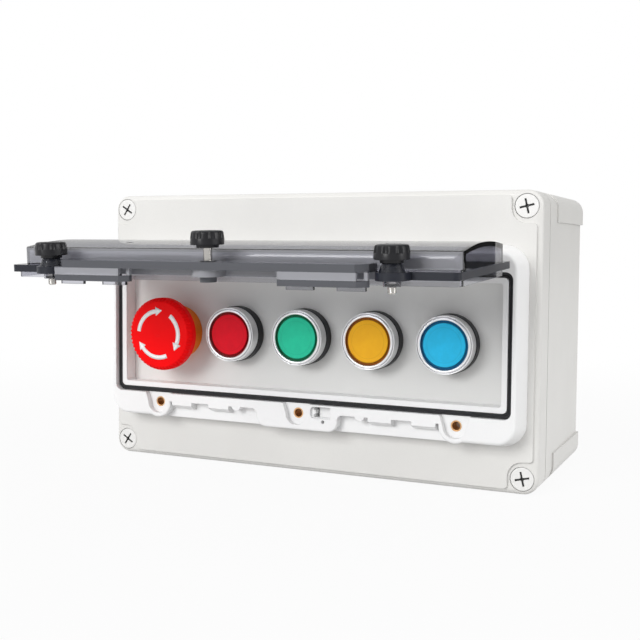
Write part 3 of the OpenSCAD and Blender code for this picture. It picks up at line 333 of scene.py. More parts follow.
def cover_masks(finish, look, hinge):
    """Three masks over the cover: the edges of its shelf and rails, its walls painted light grey
    as the light seen through them, and how much of the surface is satin with painted shade and
    light. Reach and height are measured from the hinge in the cover."""
    sine, cosine = math.sin(look.open_angle), math.cos(look.open_angle)
    outward, upward = (0, -sine, -cosine), (0, -cosine, sine)
    point = finish.place(hinge)
    reach = finish.along(point, outward)
    height = finish.along(point, upward)
    sideways = abs(finish.parts(point)[0])
    facing = finish.node("TexCoord").outputs["Normal"]
    narrow = 1 - abs(finish.along(facing, upward)).ramp(0.4, 0.7)
    forward = finish.along(facing, outward).ramp(0.3, 0.6)

    end, top = look.flange_length, look.flange_top
    shelf_top = top + look.shelf_thickness
    rail_top = top - look.rail_gap
    shelf_back, wall_back = end - look.shelf_overlap, end - look.wall_reach
    above = height.ramp(*around(top))
    layer = height.within(around(top - look.flange_thickness), around(top))
    inside = 1 - sideways.ramp(look.shelf_half, look.shelf_half + SOFT)
    beyond = reach.ramp(end + SOFT, end + 3 * SOFT) * inside

    flange = layer * (1 - inside * reach.ramp(shelf_back, shelf_back + MM))
    shelf = beyond * above
    rails = beyond * height.within(around(rail_top - look.rail_thickness), around(rail_top))
    bosses = height.ramp(shelf_top, shelf_top + SOFT)
    from_boss = ((sideways - look.boss_distance) ** 2 + (reach - look.boss_reach) ** 2) ** 0.5
    # Painted shade: the clear cones of the bosses are painted dark, as the dark refraction seen
    # through them.
    cone = (1 - from_boss.ramp(look.boss_radius, look.boss_radius + SOFT)) * above
    # Painted light: the front under the shelf and the dome's forward facing wall get a light
    # grey, as the light seen through the clear plastic.
    front = layer * inside * reach.ramp(end - 2 * MM, end - MM)
    wall = height.ramp(top + 0.3 * MM, top + 0.6 * MM) * reach.ramp(wall_back, wall_back + MM)
    wall = wall * (1 - beyond) * (1 - cone) * forward

    # The satin layer carries the painted shade of the edges and cones and the painted light of
    # the front walls.
    painted_satin = (flange + shelf + rails).ramp(*FIRM) * narrow * (1 - bosses) * look.painted_satin
    for mask, share in ((cone, look.cone_shade_share), (front, look.front_share),
                        (wall, look.wall_share)):
        painted_satin = painted_satin.at_least(mask * share)
    return (shelf + rails).ramp(*FIRM), (front + wall).ramp(*FIRM), painted_satin


def tinted_clear(name, look, hinge):
    """Clear plastic whose grey tint deepens with the length of the light's way in it. Narrow
    edges are satin and painted dark, as painted shade of thick tinted plastic seen edge-on; the
    bosses' cones are painted dark as shade, and the front walls are painted light grey, as the
    light seen through them."""
    finish = Finish(name)
    strokes = finish.place(turn=(0.3, 0.1, 0.4), scale=(1, 18, 18))
    scuffs = finish.noise(strokes, size=12 * MM, detail=5.0)
    haze = finish.noise(finish.place(), size=22 * MM, detail=4.0, rough=0.6)
    rough = look.roughness + scuffs.ramp(0.62, 0.8) * 0.1 + haze.ramp(0.5, 0.8) * 0.02
    normal = finish.bump(scuffs, 0.004 * MM, strength=0.1)
    clear = finish.principled(look.clear, rough, IOR=1.5, Transmission_Weight=1.0, Normal=normal)
    shelf, painted_light, share = cover_masks(finish, look, hinge)
    # Painted shade: the satin edges of the flange and shelf are painted dark, as thick tinted
    # plastic looks edge-on.
    base = finish.mix(shelf, look.shaded_flange_edge, look.shaded_shelf_edge)
    # Painted light: the front walls are painted light grey, as the light seen through them.
    base = finish.mix(painted_light, base, look.painted_wall_light)
    painted_satin = finish.principled(base, 0.34 + haze * 0.1, IOR=1.5, Normal=normal,
                              Specular_IOR_Level=0.3)
    body = finish.node("VolumeAbsorption", {"Color": look.tint, "Density": look.density})
    return finish.end(finish.blend(share, clear, painted_satin), Volume=body.outputs[0])


def satin_chrome(name, colour, centre, roughness):
    """Satin chrome that was turned round an axis along Y, with very fine concentric marks."""
    finish = Finish(name)
    point = finish.place(centre)
    depth = finish.parts(point)[1]
    marks = finish.rings(finish.from_axis(point) + depth * 0.6, size=0.12 * MM)
    smudge = finish.noise(point, size=9 * MM, detail=3.0, rough=0.6)
    base = finish.mix(smudge.ramp(0.35, 0.75), shade(colour, 1.03), shade(colour, 0.95))
    base = finish.mix(marks.ramp(0.4, 0.7) * 0.3, base, shade(colour, 0.88))
    rough = roughness + (marks - 0.5) * 0.08 + (smudge - 0.5) * 0.06
    return finish.surface(base, rough, Metallic=1.0)


def plated_metal(name, colour, roughness, stretch, depth=0.01 * MM):
    """Plated steel or brass with faint drawn streaks and a few dull spots."""
    finish = Finish(name)
    streaks = finish.noise(finish.place(scale=stretch), size=0.9 * MM, detail=3.0)
    spots = finish.noise(finish.place(), size=3.5 * MM, detail=4.0, rough=0.65)
    base = finish.mix(spots.ramp(0.5, 0.8), colour, shade(colour, 0.82))
    rough = roughness + streaks * 0.08 + spots.ramp(0.5, 0.85) * 0.18
    normal = finish.bump(streaks, depth, strength=0.4, normal=finish.rounded(0.15 * MM))
    return finish.surface(base, rough, Metallic=1.0, Normal=normal)


def lens_plastic(name, colour, centre, radius):
    """Translucent lens: a frosted middle, a faint line round it, a tone that darkens towards the
    rim, a rim painted deep as the shade in the gap at the bezel, and a lighter lip painted as a
    highlight on the edge of the face.
    """
    finish = Finish(name)
    point = finish.place(centre)
    out = finish.from_axis(point) / radius
    rim = out.ramp(*LENS_SHADED_RIM)
    lit_lip = out.within(*LENS_LIT_LIP)
    line = out.within(*LENS_LINE)
    cloud = finish.noise(point, size=6 * MM, detail=3.0, rough=0.6)
    frost = finish.noise(point, size=0.35 * MM)
    base = finish.mix(cloud.ramp(0.3, 0.75), shade(colour, 0.95), shade(colour, 1.06))
    base = finish.mix(out.ramp(0.2, 0.9) * 0.25, base, shade(colour, 0.82))
    base = finish.mix(line * 0.2, base, shade(colour, 0.4))
    # Painted shade: the rim gets a deep colour, as the shade in the gap between the lens and its
    # bezel.
    base = finish.mix(rim, base, [0.3 * channel ** 2 for channel in colour])
    # Painted highlight: a lighter lip inside the shaded rim, as light caught on the edge of the
    # lens face.
    base = finish.mix(lit_lip * 0.5, base, shade(colour, 0.3))
    rough = 0.45 - rim * 0.14 + (cloud - 0.5) * 0.1
    normal = finish.bump(frost * 0.4 - line * 2, 0.02 * MM, strength=0.4)
    return finish.surface(base, rough, Normal=normal, IOR=1.5, Specular_IOR_Level=0.15)


def paint(material, *nodes):
    """Gives CAD nodes one finish on all of their faces."""
    for node in nodes:
        piece = frame["nodes"][node]
        piece.data.materials.clear()
        piece.data.materials.append(material)
        piece.data.polygons.foreach_set("material_index", [0] * len(piece.data.polygons))


# Modelling

def switch(mode):
    bpy.ops.object.mode_set(mode=mode)


def start(name, add, **settings):
    """Adds a primitive under a name, with nothing else selected, and selects none of its mesh."""
    bpy.ops.object.select_all(action="DESELECT")
    add(**settings)
    piece = bpy.context.object
    piece.name = piece.data.name = name
    switch("EDIT")
    bpy.ops.mesh.select_all(action="DESELECT")
    switch("OBJECT")
    return piece


def edit_all():
    """Opens the active piece in edit mode with its whole mesh selected."""
    switch("EDIT")
    bpy.ops.mesh.select_mode(type="VERT")
    bpy.ops.mesh.select_all(action="SELECT")


def close(threshold=None):
    """Merges points within the threshold, turns all faces outward and leaves edit mode."""
    bpy.ops.mesh.select_all(action="SELECT")
    if threshold:
        bpy.ops.mesh.remove_doubles(threshold=threshold)
    bpy.ops.mesh.normals_make_consistent(inside=False)
    switch("OBJECT")


def pick(piece, kind, wanted):
    """Selects the points whose place, or the edges whose middle and run, the test wants, and
    stays in edit mode."""
    mesh = piece.data
    switch("EDIT")
    bpy.ops.mesh.select_mode(type=kind)
    bpy.ops.mesh.select_all(action="DESELECT")
    switch("OBJECT")
    if kind == "EDGE":
        for edge in mesh.edges:
            ends = [mesh.vertices[k].co for k in edge.vertices]
            edge.select = wanted((ends[0] + ends[1]) / 2, ends[1] - ends[0])
    else:
        for point in mesh.vertices:
            point.select = wanted(point.co)
    switch("EDIT")


def modify(piece, kind, **settings):
    """Adds a modifier and applies it."""
    modifier = piece.modifiers.new(kind, kind)
    for name, value in settings.items():
        setattr(modifier, name, value)
    bpy.context.view_layer.objects.active = piece
    bpy.ops.object.modifier_apply(modifier=modifier.name)


def settle(piece, matrix, angle=35):
    """Puts a piece in its place, keeps that place in the mesh and shades it."""
    bpy.ops.object.select_all(action="DESELECT")
    piece.select_set(True)
    bpy.context.view_layer.objects.active = piece
    piece.matrix_world = matrix
    bpy.ops.object.transform_apply(location=True, rotation=True, scale=True)
    bpy.ops.object.shade_smooth_by_angle(angle=math.radians(angle))


def copies(first, names):
    """The piece itself under the last name, and a copy with its own mesh under each other."""
    for name in names:
        piece = first
        if name != names[-1]:
            piece = first.copy()
            piece.data = first.data.copy()
            bpy.context.scene.collection.objects.link(piece)
        piece.name = piece.data.name = name
        yield piece


def lathe(name, outline, sides, loop=False):
    """Turns an outline of (radius, height) points round Z. A loop closes on its first point."""
    piece = start(name, bpy.ops.mesh.primitive_plane_add, size=1.0)
    edit_all()
    bpy.ops.mesh.merge(type="CENTER")
    bpy.ops.transform.translate(value=(outline[0][0], 0, outline[0][1]))
    if loop:
        outline = outline + outline[:1]
    for before, after in zip(outline, outline[1:]):
        step = (after[0] - before[0], 0, after[1] - before[1])
        bpy.ops.mesh.extrude_vertices_move(TRANSFORM_OT_translate={"value": step})
    bpy.ops.mesh.select_all(action="SELECT")
    bpy.ops.mesh.remove_doubles(threshold=1e-7)
    bpy.ops.mesh.spin(steps=sides, angle=2 * math.pi, center=(0, 0, 0), axis=(0, 0, 1))
    close(threshold=2e-6)
    return piece


def dress(piece, material, body):
    """Gives a modelled piece its finish and the body that it rides on."""
    piece.data.materials.clear()
    piece.data.materials.append(material)
    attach(piece, body)


def joint_of(name):
    return next(joint for joint in frame["joints"] if joint["name"] == name)


def axis_of(name):
    """A point on the axis of a joint, and the axis."""
    joint = joint_of(name)
    return Vector(joint["pos_m"]), Vector(joint["axis"]).normalized()


def stand_on(point, axis):
    """Puts the origin on a point with Z along an axis; X stays level."""
    across = Vector((1, 0, 0))
    turn = Matrix((across, axis.cross(across), axis)).transposed().to_4x4()
    return Matrix.Translation(point) @ turn


def span_along(node, point, axis):
    """How far a CAD node reaches along an axis from a point, lowest and highest."""
    reach = [(v.co - point).dot(axis) for v in frame["nodes"][node].data.vertices]
    return min(reach), max(reach)


# Settings

def setting(kind, **fixed):
    """A function that makes settings of one kind."""
    def make(name, default, description, **limits):
        return kind(name=name, default=default, description=description, **fixed, **limits)
    return make


Colour = setting(FloatVectorProperty, subtype="COLOR", size=3, min=0.0, max=1.0)
Length = setting(FloatProperty, unit="LENGTH", subtype="DISTANCE", precision=5)
Place = setting(FloatVectorProperty, unit="LENGTH", subtype="XYZ", size=3)
Angle = setting(FloatProperty, unit="ROTATION", subtype="ANGLE")
Share = setting(FloatProperty, subtype="FACTOR", min=0.0, max=1.0)
Amount = setting(FloatProperty, min=0.0)
Count = setting(IntProperty)


class EnclosureLook(bpy.types.PropertyGroup):
    shell: Colour("Enclosure", (0.72, 0.712, 0.69), "Colour of the base and lid")
    bezel: Colour("Frame", (0.86, 0.86, 0.86), "Colour of the window frame")
    plate: Colour("Plate", (0.76, 0.76, 0.745), "Colour of the controls' plate")
    screws: Colour("Screws", (0.79, 0.785, 0.77), "Colour of the lid screws")
    rubber: Colour("Rubber", (0.009, 0.009, 0.011), "Colour of the seals")
    brass: Colour("Brass", (0.72, 0.43, 0.21), "Colour of the inserts")
    zinc: Colour("Zinc", (0.62, 0.62, 0.6), "Colour of the zinc plated screws")
    roughness: Share("Roughness", 0.42, "Roughness of the moulded plastic")
    grain: Length("Grain", 0.7 * MM, "Size of the moulded grain")
    # Below this depth a screw's slot is painted almost black, as painted shade.
    slot_shade_depth: Length("Slot depth", 0.35 * MM, "Depth at which a screw's slot darkens")


class CoverLook(bpy.types.PropertyGroup):
    tint: Colour("Tint", (0.20, 0.205, 0.29), "Colour that the plastic lets through")
    clear: Colour("Clear", (0.945, 0.945, 0.975), "Colour of its surface")
    density: Amount("Density", 310.0, "Depth of the tint per metre")
    roughness: Share("Roughness", 0.03, "Roughness of the clear plastic")
    # Painted shade: the colours of the edges and cones. Painted light: the web colour of the
    # front walls.
    shaded_flange_edge: Colour("Flange edge", (0.014, 0.016, 0.024), "Colour of its edges")
    shaded_shelf_edge: Colour("Shelf edge", (0.085, 0.088, 0.10), "Colour of the shelf's edges")
    painted_wall_light: Colour("Web", (0.46, 0.465, 0.50), "Colour of the milky walls")
    painted_satin: Share("Satin", 0.93, "How much the narrow edges cover")
    cone_shade_share: Share("Cones", 0.7, "How much the bosses' cones cover")
    front_share: Share("Front", 0.55, "How much the wall under the shelf covers")
    wall_share: Share("Wall", 0.42, "How much the dome's front wall covers")
    open_angle: Angle("Open angle", math.radians(87.2), "Angle of the cover's opening")
    flange_top: Length("Flange top", -1.4 * MM, "Height of the flange's outer face")
    flange_thickness: Length("Flange thickness", 3.4 * MM, "Thickness of the flange")
    flange_length: Length("Flange length", 80 * MM, "Length from the hinge to its edge")
    shelf_thickness: Length("Shelf thickness", 3.4 * MM, "Thickness of the latch shelf")
    shelf_half: Length("Half shelf", 78.3 * MM, "Half the width of the shelf")
    shelf_overlap: Length("Shelf overlap", 9 * MM, "How far the shelf covers the flange")
    wall_reach: Length("Wall reach", 20 * MM, "Distance of the dome's wall from the edge")
    rail_gap: Length("Rail gap", 3.5 * MM, "Gap between the shelf and the rails")
    rail_thickness: Length("Rail thickness", 2.6 * MM, "Thickness of the rails")
    boss_distance: Length("Boss distance", 86.5 * MM, "Distance of the outer bosses")
    boss_reach: Length("Boss reach", 82 * MM, "Distance of the bosses from the hinge")
    boss_radius: Length("Boss radius", 7.2 * MM, "Radius of the bosses")


class ThumbscrewLook(bpy.types.PropertyGroup):
    knob: Colour("Knob", (0.006, 0.006, 0.008), "Colour of the knobs")
    steel: Colour("Shank", (0.48, 0.465, 0.44), "Colour of the plated shanks")
    flutes: Count("Flutes", 8, "Number of flutes on a knob", min=4, max=12)
    flute_depth: Length("Flute depth", 0.9 * MM, "Depth of a flute")
    flute_share: Share("Flute start", 0.45, "Share of a knob's side below its flutes")
    shoulder: Length("Shoulder", 1.2 * MM, "Radius of a knob's shoulder")
    dish: Length("Dish", 0.15 * MM, "Depth of the dish in a knob's top")
    seat: Length("Seat", 0.1 * MM, "Gap between a knob and its boss")
    collar_radius: Length("Collar radius", 5 * MM, "Radius of the collar under a knob")
    collar_height: Length("Collar height", 1.4 * MM, "Height of that collar")
    thread_pitch: Length("Thread pitch", 0.5 * MM, "Pitch of the threads")
    thread_depth: Length("Thread depth", 0.09 * MM, "Depth of the threads")
    tip_radius: Length("Tip radius", 1.78 * MM, "Radius of a shank's tip")
    tip_length: Length("Tip length", 2.6 * MM, "Length of the thread on the tip")
    insert_radius: Length("Insert radius", 2.2 * MM, "Radius of an insert's bore")


class ControlLook(bpy.types.PropertyGroup):
    red: Colour("Red lens", (0.83, 0.002, 0.018), "Colour of the red lens")
    green: Colour("Green lens", (0.024, 0.63, 0.375), "Colour of the green lens")
    yellow: Colour("Yellow lens", (1.0, 0.49, 0.016), "Colour of the yellow lens")
    blue: Colour("Blue lens", (0.026, 0.57, 0.92), "Colour of the blue lens")
    head: Colour("Stop head", (1.0, 0.002, 0.004), "Colour of the mushroom head")
    collar: Colour("Collar", (0.98, 0.21, 0.004), "Colour of the collar")
    chrome: Colour("Bezel", (0.77, 0.77, 0.78), "Colour of the bezels")
    black: Colour("Black", (0.010, 0.010, 0.012), "Colour of the black mouldings")
    contact: Colour("Contact block", (0.02, 0.02, 0.022), "Colour of the contact blocks")
    stop_contact: Colour("Stop contact", (0.38, 0.012, 0.012), "Colour of the stop's block")
    chrome_roughness: Share("Bezel roughness", 0.36, "Roughness of the bezels")
    rim_width: Length("Rim width", 1.5 * MM, "Width of a bezel's rounded rim")
    sleeve_length: Length("Sleeve length", 2.7 * MM, "Length of a bezel in its ring")
    wire: Colour("Spring wire", (0.45, 0.45, 0.46), "Colour of the return springs")
    spring_wire: Length("Wire", 1 * MM, "Diameter of the springs' wire")
    spring_turns: Count("Turns", 5, "Number of turns of a spring", min=3, max=8)
    arrow: Colour("Arrow", (1.0, 0.98, 0.97), "Colour of the printed arrows")
    arrow_radius: Length("Arrow radius", 12.65 * MM, "Mean radius of the three arrows")
    arrow_width: Length("Arrow width", 2.4 * MM, "Width of an arrow's band")
    arrow_head: Length("Arrow head", 5.0 * MM, "Width of an arrow's head")


class StudioLook(bpy.types.PropertyGroup):
    ambient: Amount("Ambient", 0.68, "Strength of the even light")
    floor: Colour("Floor", (0.62, 0.62, 0.62), "Colour of the floor")
    key: Amount("Key", 22.5, "Power of the main lamp in watts")
    key_place: Place("Key place", (-0.55, -1.9, 0.72), "Place of the main lamp")
    fill: Amount("Fill", 11.5, "Power of the second lamp in watts")
    fill_place: Place("Fill place", (2.0, -0.15, 0.6), "Place of the second lamp")
    lamp_size: Length("Lamp size", 0.9, "Width of both lamps")
    front_dark: Share("Front", 0.45, "Darkness of reflections of the front")
    below_dark: Share("Below", 0.25, "Darkness of reflections from below")
    beside_dark: Share("Beside", 0.6, "Darkness of reflections of the right")
    behind_dark: Share("Behind", 0.35, "Darkness of reflections of the back")


# Operators

class Step:
    """What the operators share: each makes its pieces from one group of settings."""
    bl_options = {"REGISTER", "UNDO"}

    def execute(self, context):
        self.make(getattr(context.scene, self.group))
        return {"FINISHED"}


class STOPBOX_OT_enclosure(Step, bpy.types.Operator):
    """Finish the enclosure, its window frame, plate, seals and fasteners"""
    bl_idname = "stopbox.enclosure"
    bl_label = "Finish enclosure"
    group = "stopbox_enclosure"

    def make(self, look):
        paint(moulded_plastic("enclosure_plastic", look.shell, look.roughness, look.grain),
              "base_box", "lid")
        paint(moulded_plastic("frame_plastic", look.bezel, look.roughness - 0.08,
                              look.grain * 0.8, 0.012 * MM), "window_frame")
        paint(moulded_plastic("plate_plastic", look.plate, look.roughness, look.grain * 0.8,
                              0.015 * MM), "button_panel")
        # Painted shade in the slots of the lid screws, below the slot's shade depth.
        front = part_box("lid_screws")[0].y
        paint(fine_plastic("screw_plastic", look.screws, 0.35, edge=0.3 * MM,
                           shadow=front + look.slot_shade_depth), "lid_screws")
        groove_width = 2.7 * MM
        half_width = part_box("window_seal")[1].x - groove_width
        paint(soft_rubber("window_seal_rubber", look.rubber, half_width), "window_seal")
        paint(soft_rubber("lid_seal_rubber", look.rubber), "lid_seal")
        brass = plated_metal("turned_brass", look.brass, 0.28, stretch=(1, 3, 1))
        paint(brass, "base_inserts", "latch_inserts")
        line_inserts(brass, bpy.context.scene.stopbox_thumbscrews)
        paint(plated_metal("zinc_plate", look.zinc, 0.32, stretch=(1, 4, 1)),
              "frame_screws", "hinge_pins")


def ridges(radius, depth, length, pitch):
    """A thread's flank drawn as rings: points of radius and height, up to about the length."""
    turn = ((0, 0), (depth, 0.35), (depth, 0.5), (0, 0.85))
    return [(radius + over, (count + share) * pitch)
            for count in range(int(length / pitch)) for over, share in turn]


def thread(name, flank, back):
    """A thin ring of metal between a thread's flank and the radius of its smooth back."""
    return lathe(name, flank + [(back, flank[-1][1]), (back, 0.0)], sides=40, loop=True)


def line_inserts(brass, look):
    """Lines the bores of the three latch inserts with threads."""
    low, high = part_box("latch_inserts")
    spacing = (high.x - low.x - high.z + low.z) / 2
    clear = 0.6 * MM
    flank = ridges(look.insert_radius - look.thread_depth, look.thread_depth * 0.9,
                   high.y - low.y - clear, look.thread_pitch)
    bore = thread("insert_thread", flank, look.insert_radius + 0.1 * MM)
    names = ["insert_thread_%d" % number for number in (1, 2, 3)]
    for place, lining in zip((-1, 0, 1), copies(bore, names)):
        spot = Vector((place * spacing, low.y + clear / 2, (low.z + high.z) / 2))
        settle(lining, stand_on(spot, INTO_WALL), SMOOTH_THREAD)
        dress(lining, brass, "box")


class STOPBOX_OT_cover(Step, bpy.types.Operator):
    """Finish the clear cover"""
    bl_idname = "stopbox.cover"
    bl_label = "Finish cover"
    group = "stopbox_cover"

    def make(self, look):
        hinge = axis_of("cover_hinge")[0]
        paint(tinted_clear("smoke_clear_plastic", look, hinge), "window_cover")


def fluted_knob(radius, height, look):
    """A knob on its collar, with flutes from its top to half its height."""
    chamfer, inset, bevel = 0.2 * MM, 0.3 * MM, 0.12 * MM
    collar, dish, soft = look.collar_height, look.dish, look.shoulder
    flute = collar + look.flute_share * (height - collar)
    turns = [math.radians(15 * k) for k in range(7)]
    fluted = [(radius, flute + 0.04 * MM)]
    fluted += [(radius - inset - soft * (1 - math.cos(turn)),
                height - soft * (1 - math.sin(turn))) for turn in turns]
    outline = [(0, look.seat), (look.collar_radius, look.seat), (look.collar_radius, collar),
               (radius - chamfer, collar), (radius, collar + chamfer), (radius, flute)]
    outline += fluted
    outline += [(radius - soft - 0.9 * MM, height), (radius - soft - 1.2 * MM, height - dish),
                (0, height - dish)]
    per_flute = 12
    sides = per_flute * look.flutes
    knob = lathe("knob", outline, sides)
    for ring, level in fluted:
        for beside, share in ((0, 1.0), (1, 0.9), (2, 0.55)):
            target = radius - look.flute_depth * share
            if ring <= target:
                continue
            pick(knob, "VERT", lambda co: abs(co.z - level) < 0.01 * MM
                 and co.xy.length > target and flute_place(co, sides, per_flute) == beside)
            bpy.ops.transform.resize(value=(target / ring, target / ring, 1),
                                     center_override=(0, 0, level))
    switch("OBJECT")
    modify(knob, "BEVEL", width=bevel, segments=2, limit_method="ANGLE",
           angle_limit=math.radians(50))
    return knob


def flute_place(co, sides, per_flute):
    """How many points a knob's point lies beside the middle of the nearest flute."""
    place = round(math.atan2(co.y, co.x) / (2 * math.pi) * sides) % per_flute
    return min(place, per_flute - place)


class STOPBOX_OT_thumbscrews(Step, bpy.types.Operator):
    """Model the fluted knobs and the screw threads, and finish the thumbscrews"""
    bl_idname = "stopbox.thumbscrews"
    bl_label = "Make thumbscrews"
    group = "stopbox_thumbscrews"

    def make(self, look):
        steel = plated_metal("nickel_plate", look.steel, 0.12, (1, 1, 6), 0.004 * MM)
        black = fine_plastic("knob_plastic", look.knob, 0.34, edge=0.3 * MM, specular=0.35)
        rubber = soft_rubber("retaining_ring_rubber", look.knob)
        bottom, top = span_along("middle_knob", *axis_of("middle_turn"))
        knobs = copies(fluted_knob(size_of("middle_knob").x / 2, top - bottom, look),
                       [side + "_fluted_knob" for side in SIDES])
        flank = ridges(look.tip_radius, look.thread_depth, look.tip_length, look.thread_pitch)
        sleeves = copies(thread("tip_thread", flank, look.tip_radius - 0.2 * MM),
                         [side + "_thread" for side in SIDES])
        for side, knob, sleeve in zip(SIDES, knobs, sleeves):
            point, axis = axis_of(side + "_turn")
            bottom = span_along(side + "_knob", point, axis)[0]
            settle(knob, stand_on(point + axis * bottom, axis), SMOOTH_RIM)
            dress(knob, black, side + "_thumbscrew")
            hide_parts(side + "_knob")
            bottom = span_along(side + "_screw", point, axis)[0]
            settle(sleeve, stand_on(point + axis * (bottom + 0.5 * MM), axis), SMOOTH_THREAD)
            dress(sleeve, steel, side + "_thumbscrew")
            paint(steel, side + "_screw")
            paint(black, side + "_knob")
            paint(rubber, side + "_retaining_ring")


class STOPBOX_OT_stop_button(Step, bpy.types.Operator):
    """Finish the stop button and lay its three arrows on the head"""
    bl_idname = "stopbox.stop_button"
    bl_label = "Make stop button"
    group = "stopbox_controls"

    def make(self, look):
        paint(gloss_plastic("stop_head_red", look.head, 0.5, specular=0.08), "stop_head")
        paint(gloss_plastic("collar_yellow", look.collar, 0.4, specular=0.2), "stop_collar")
        paint(fine_plastic("stop_body_black", look.black, 0.4), "stop_barrel", "stop_plunger")
        white = gloss_plastic("arrow_white", look.arrow, 0.4, 0.006 * MM, 0.3)
        middle = middle_of("stop_head")
        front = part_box("stop_head")[0].y
        flat = Matrix.Translation((middle.x, front - 1 * MM, middle.z)) @ Matrix.Rotation(
            math.radians(90), 4, "X")
        apart, lead = -120, -7
        for count in range(3):
            arrow = arrow_strip("stop_arrow_%d" % (count + 1), look)
            turn = Matrix.Rotation(math.radians(apart * count + lead), 4, "Z")
            settle(arrow, flat @ turn)
            lay_on_head(arrow)
            dress(arrow, white, "stop_button")


def arrow_strip(name, look):
    """One flat arrow, curved clockwise round the origin and facing +Z."""
    radius, half, head = look.arrow_radius, look.arrow_width / 2, look.arrow_head / 2
    step, run = math.radians(3), math.radians(74)
    arrow = start(name, bpy.ops.mesh.primitive_plane_add, size=1.0)
    edit_all()
    bpy.ops.transform.resize(value=(2 * half, radius * step, 1))
    bpy.ops.transform.translate(value=(-radius, 0, 0))
    pick(arrow, "EDGE", lambda middle, way: middle.y > 0.1 * radius * step and abs(way.y) < 1e-6)
    bpy.ops.mesh.spin(steps=24, angle=run, center=(0, 0, 0), axis=(0, 0, 1))
    far = math.pi - run - step / 2
    end = Vector((math.cos(far), math.sin(far), 0)) * radius
    ahead = Vector((math.sin(far), -math.cos(far), 0)) * head * 0.4
    bpy.ops.mesh.extrude_region_move()
    bpy.ops.transform.resize(value=(head / half,) * 3, center_override=end)
    for count, shrink in enumerate((3 / 4, 2 / 3, 1 / 2, 1 / 20), 1):
        bpy.ops.mesh.extrude_region_move(TRANSFORM_OT_translate={"value": ahead})
        bpy.ops.transform.resize(value=(shrink,) * 3, center_override=end + ahead * count)
    close(threshold=1e-6)
    return arrow


def lay_on_head(arrow):
    """Drops a flat arrow onto the crown of the head and gives it the thickness of print."""
    modify(arrow, "SUBSURF", subdivision_type="SIMPLE", levels=1, render_levels=1)
    modify(arrow, "SHRINKWRAP", target=frame["nodes"]["stop_head"], wrap_method="PROJECT",
           use_project_y=True, use_positive_direction=True, use_negative_direction=True,
           offset=0.05 * MM)
    modify(arrow, "SOLIDIFY", thickness=0.12 * MM, offset=-1.0)


class STOPBOX_OT_push_buttons(Step, bpy.types.Operator):
    """Finish the four push buttons: lenses, rings and what is behind the plate"""
    bl_idname = "stopbox.push_buttons"
    bl_label = "Finish push buttons"
    group = "stopbox_controls"

    def make(self, look):
        black = fine_plastic("button_black", look.black, 0.4, edge=0.3 * MM, specular=0.25)
        dark = fine_plastic("contact_dark", look.contact, 0.45)
        for colour in COLOURS:
            node = colour + "_lens"
            lens = lens_plastic(node + "_plastic", getattr(look, colour), middle_of(node),
                                size_of(node).x / 2)
            paint(lens, node)
            paint(black, colour + "_ring", colour + "_plunger", colour + "_barrel")
            paint(dark, colour + "_contact_block")
        paint(black, "locknuts")
        paint(fine_plastic("contact_red", look.stop_contact, 0.45), "stop_contact_block")


def arc(radius, height, size, steps):
    """Points over a rounded rim from its outer to its inner side."""
    return [(radius + size * math.cos(math.pi * k / steps),
             height + size * math.sin(math.pi * k / steps)) for k in range(steps + 1)]


def turned_bezel(radius, height, look):
    """A bezel along Z: a sleeve, a tapered side with a fine bead, and the rounded rim."""
    ledge = 1 * MM
    bead, bead_inset, bead_drop = 0.3 * MM, 0.45 * MM, 0.8 * MM
    bore = radius - look.rim_width - ledge
    sleeve_in, sleeve_out = bore - 1.48 * MM, bore + 0.4 * MM
    seat, rim = look.sleeve_length, look.rim_width / 2
    level = height - bead_drop
    groove = level - 2 * bead
    outline = [(sleeve_in, 0), (sleeve_out, 0), (sleeve_out, seat), (radius, seat)]
    outline += arc(radius - bead_inset, level, bead, 8)
    outline += [(radius - bead_inset - bead, groove), (radius - ledge, groove)]
    outline += arc(bore + rim, height - rim, rim, 14)
    outline += [(bore, seat - ledge), (sleeve_in, seat - ledge)]
    return lathe("bezel", outline, sides=96, loop=True)


class STOPBOX_OT_bezels(Step, bpy.types.Operator):
    """Turn the four bezels with their rounded rims"""
    bl_idname = "stopbox.bezels"
    bl_label = "Make bezels"
    group = "stopbox_controls"

    def make(self, look):
        size = size_of("red_bezel")
        bezels = copies(turned_bezel(size.x / 2, size.y, look),
                        [colour + "_turned_bezel" for colour in COLOURS])
        for colour, bezel in zip(COLOURS, bezels):
            node = colour + "_bezel"
            centre = middle_of(node)
            back = Vector((centre.x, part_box(node)[1].y, centre.z))
            settle(bezel, stand_on(back, OUT_OF_WALL), SMOOTH_RIM)
            chrome = satin_chrome(node + "_chrome", look.chrome, centre, look.chrome_roughness)
            dress(bezel, chrome, "box")
            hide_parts(node)
            paint(chrome, node)


def coil(radius, length, look):
    """A coil spring along Z, from 0 to its length."""
    wire = look.spring_wire
    sides, steps = 8, 24 * look.spring_turns
    spring = start("spring", bpy.ops.mesh.primitive_circle_add, vertices=sides, radius=wire / 2)
    edit_all()
    bpy.ops.transform.rotate(value=math.pi / 2, orient_axis="X", center_override=(0, 0, 0))
    bpy.ops.transform.translate(value=(radius - wire / 2, 0, wire / 2))
    switch("OBJECT")
    modify(spring, "SCREW", angle=2 * math.pi * look.spring_turns, screw_offset=length - wire,
           steps=steps, render_steps=steps)
    edit_all()
    bpy.ops.mesh.fill_holes(sides=sides)
    close()
    return spring


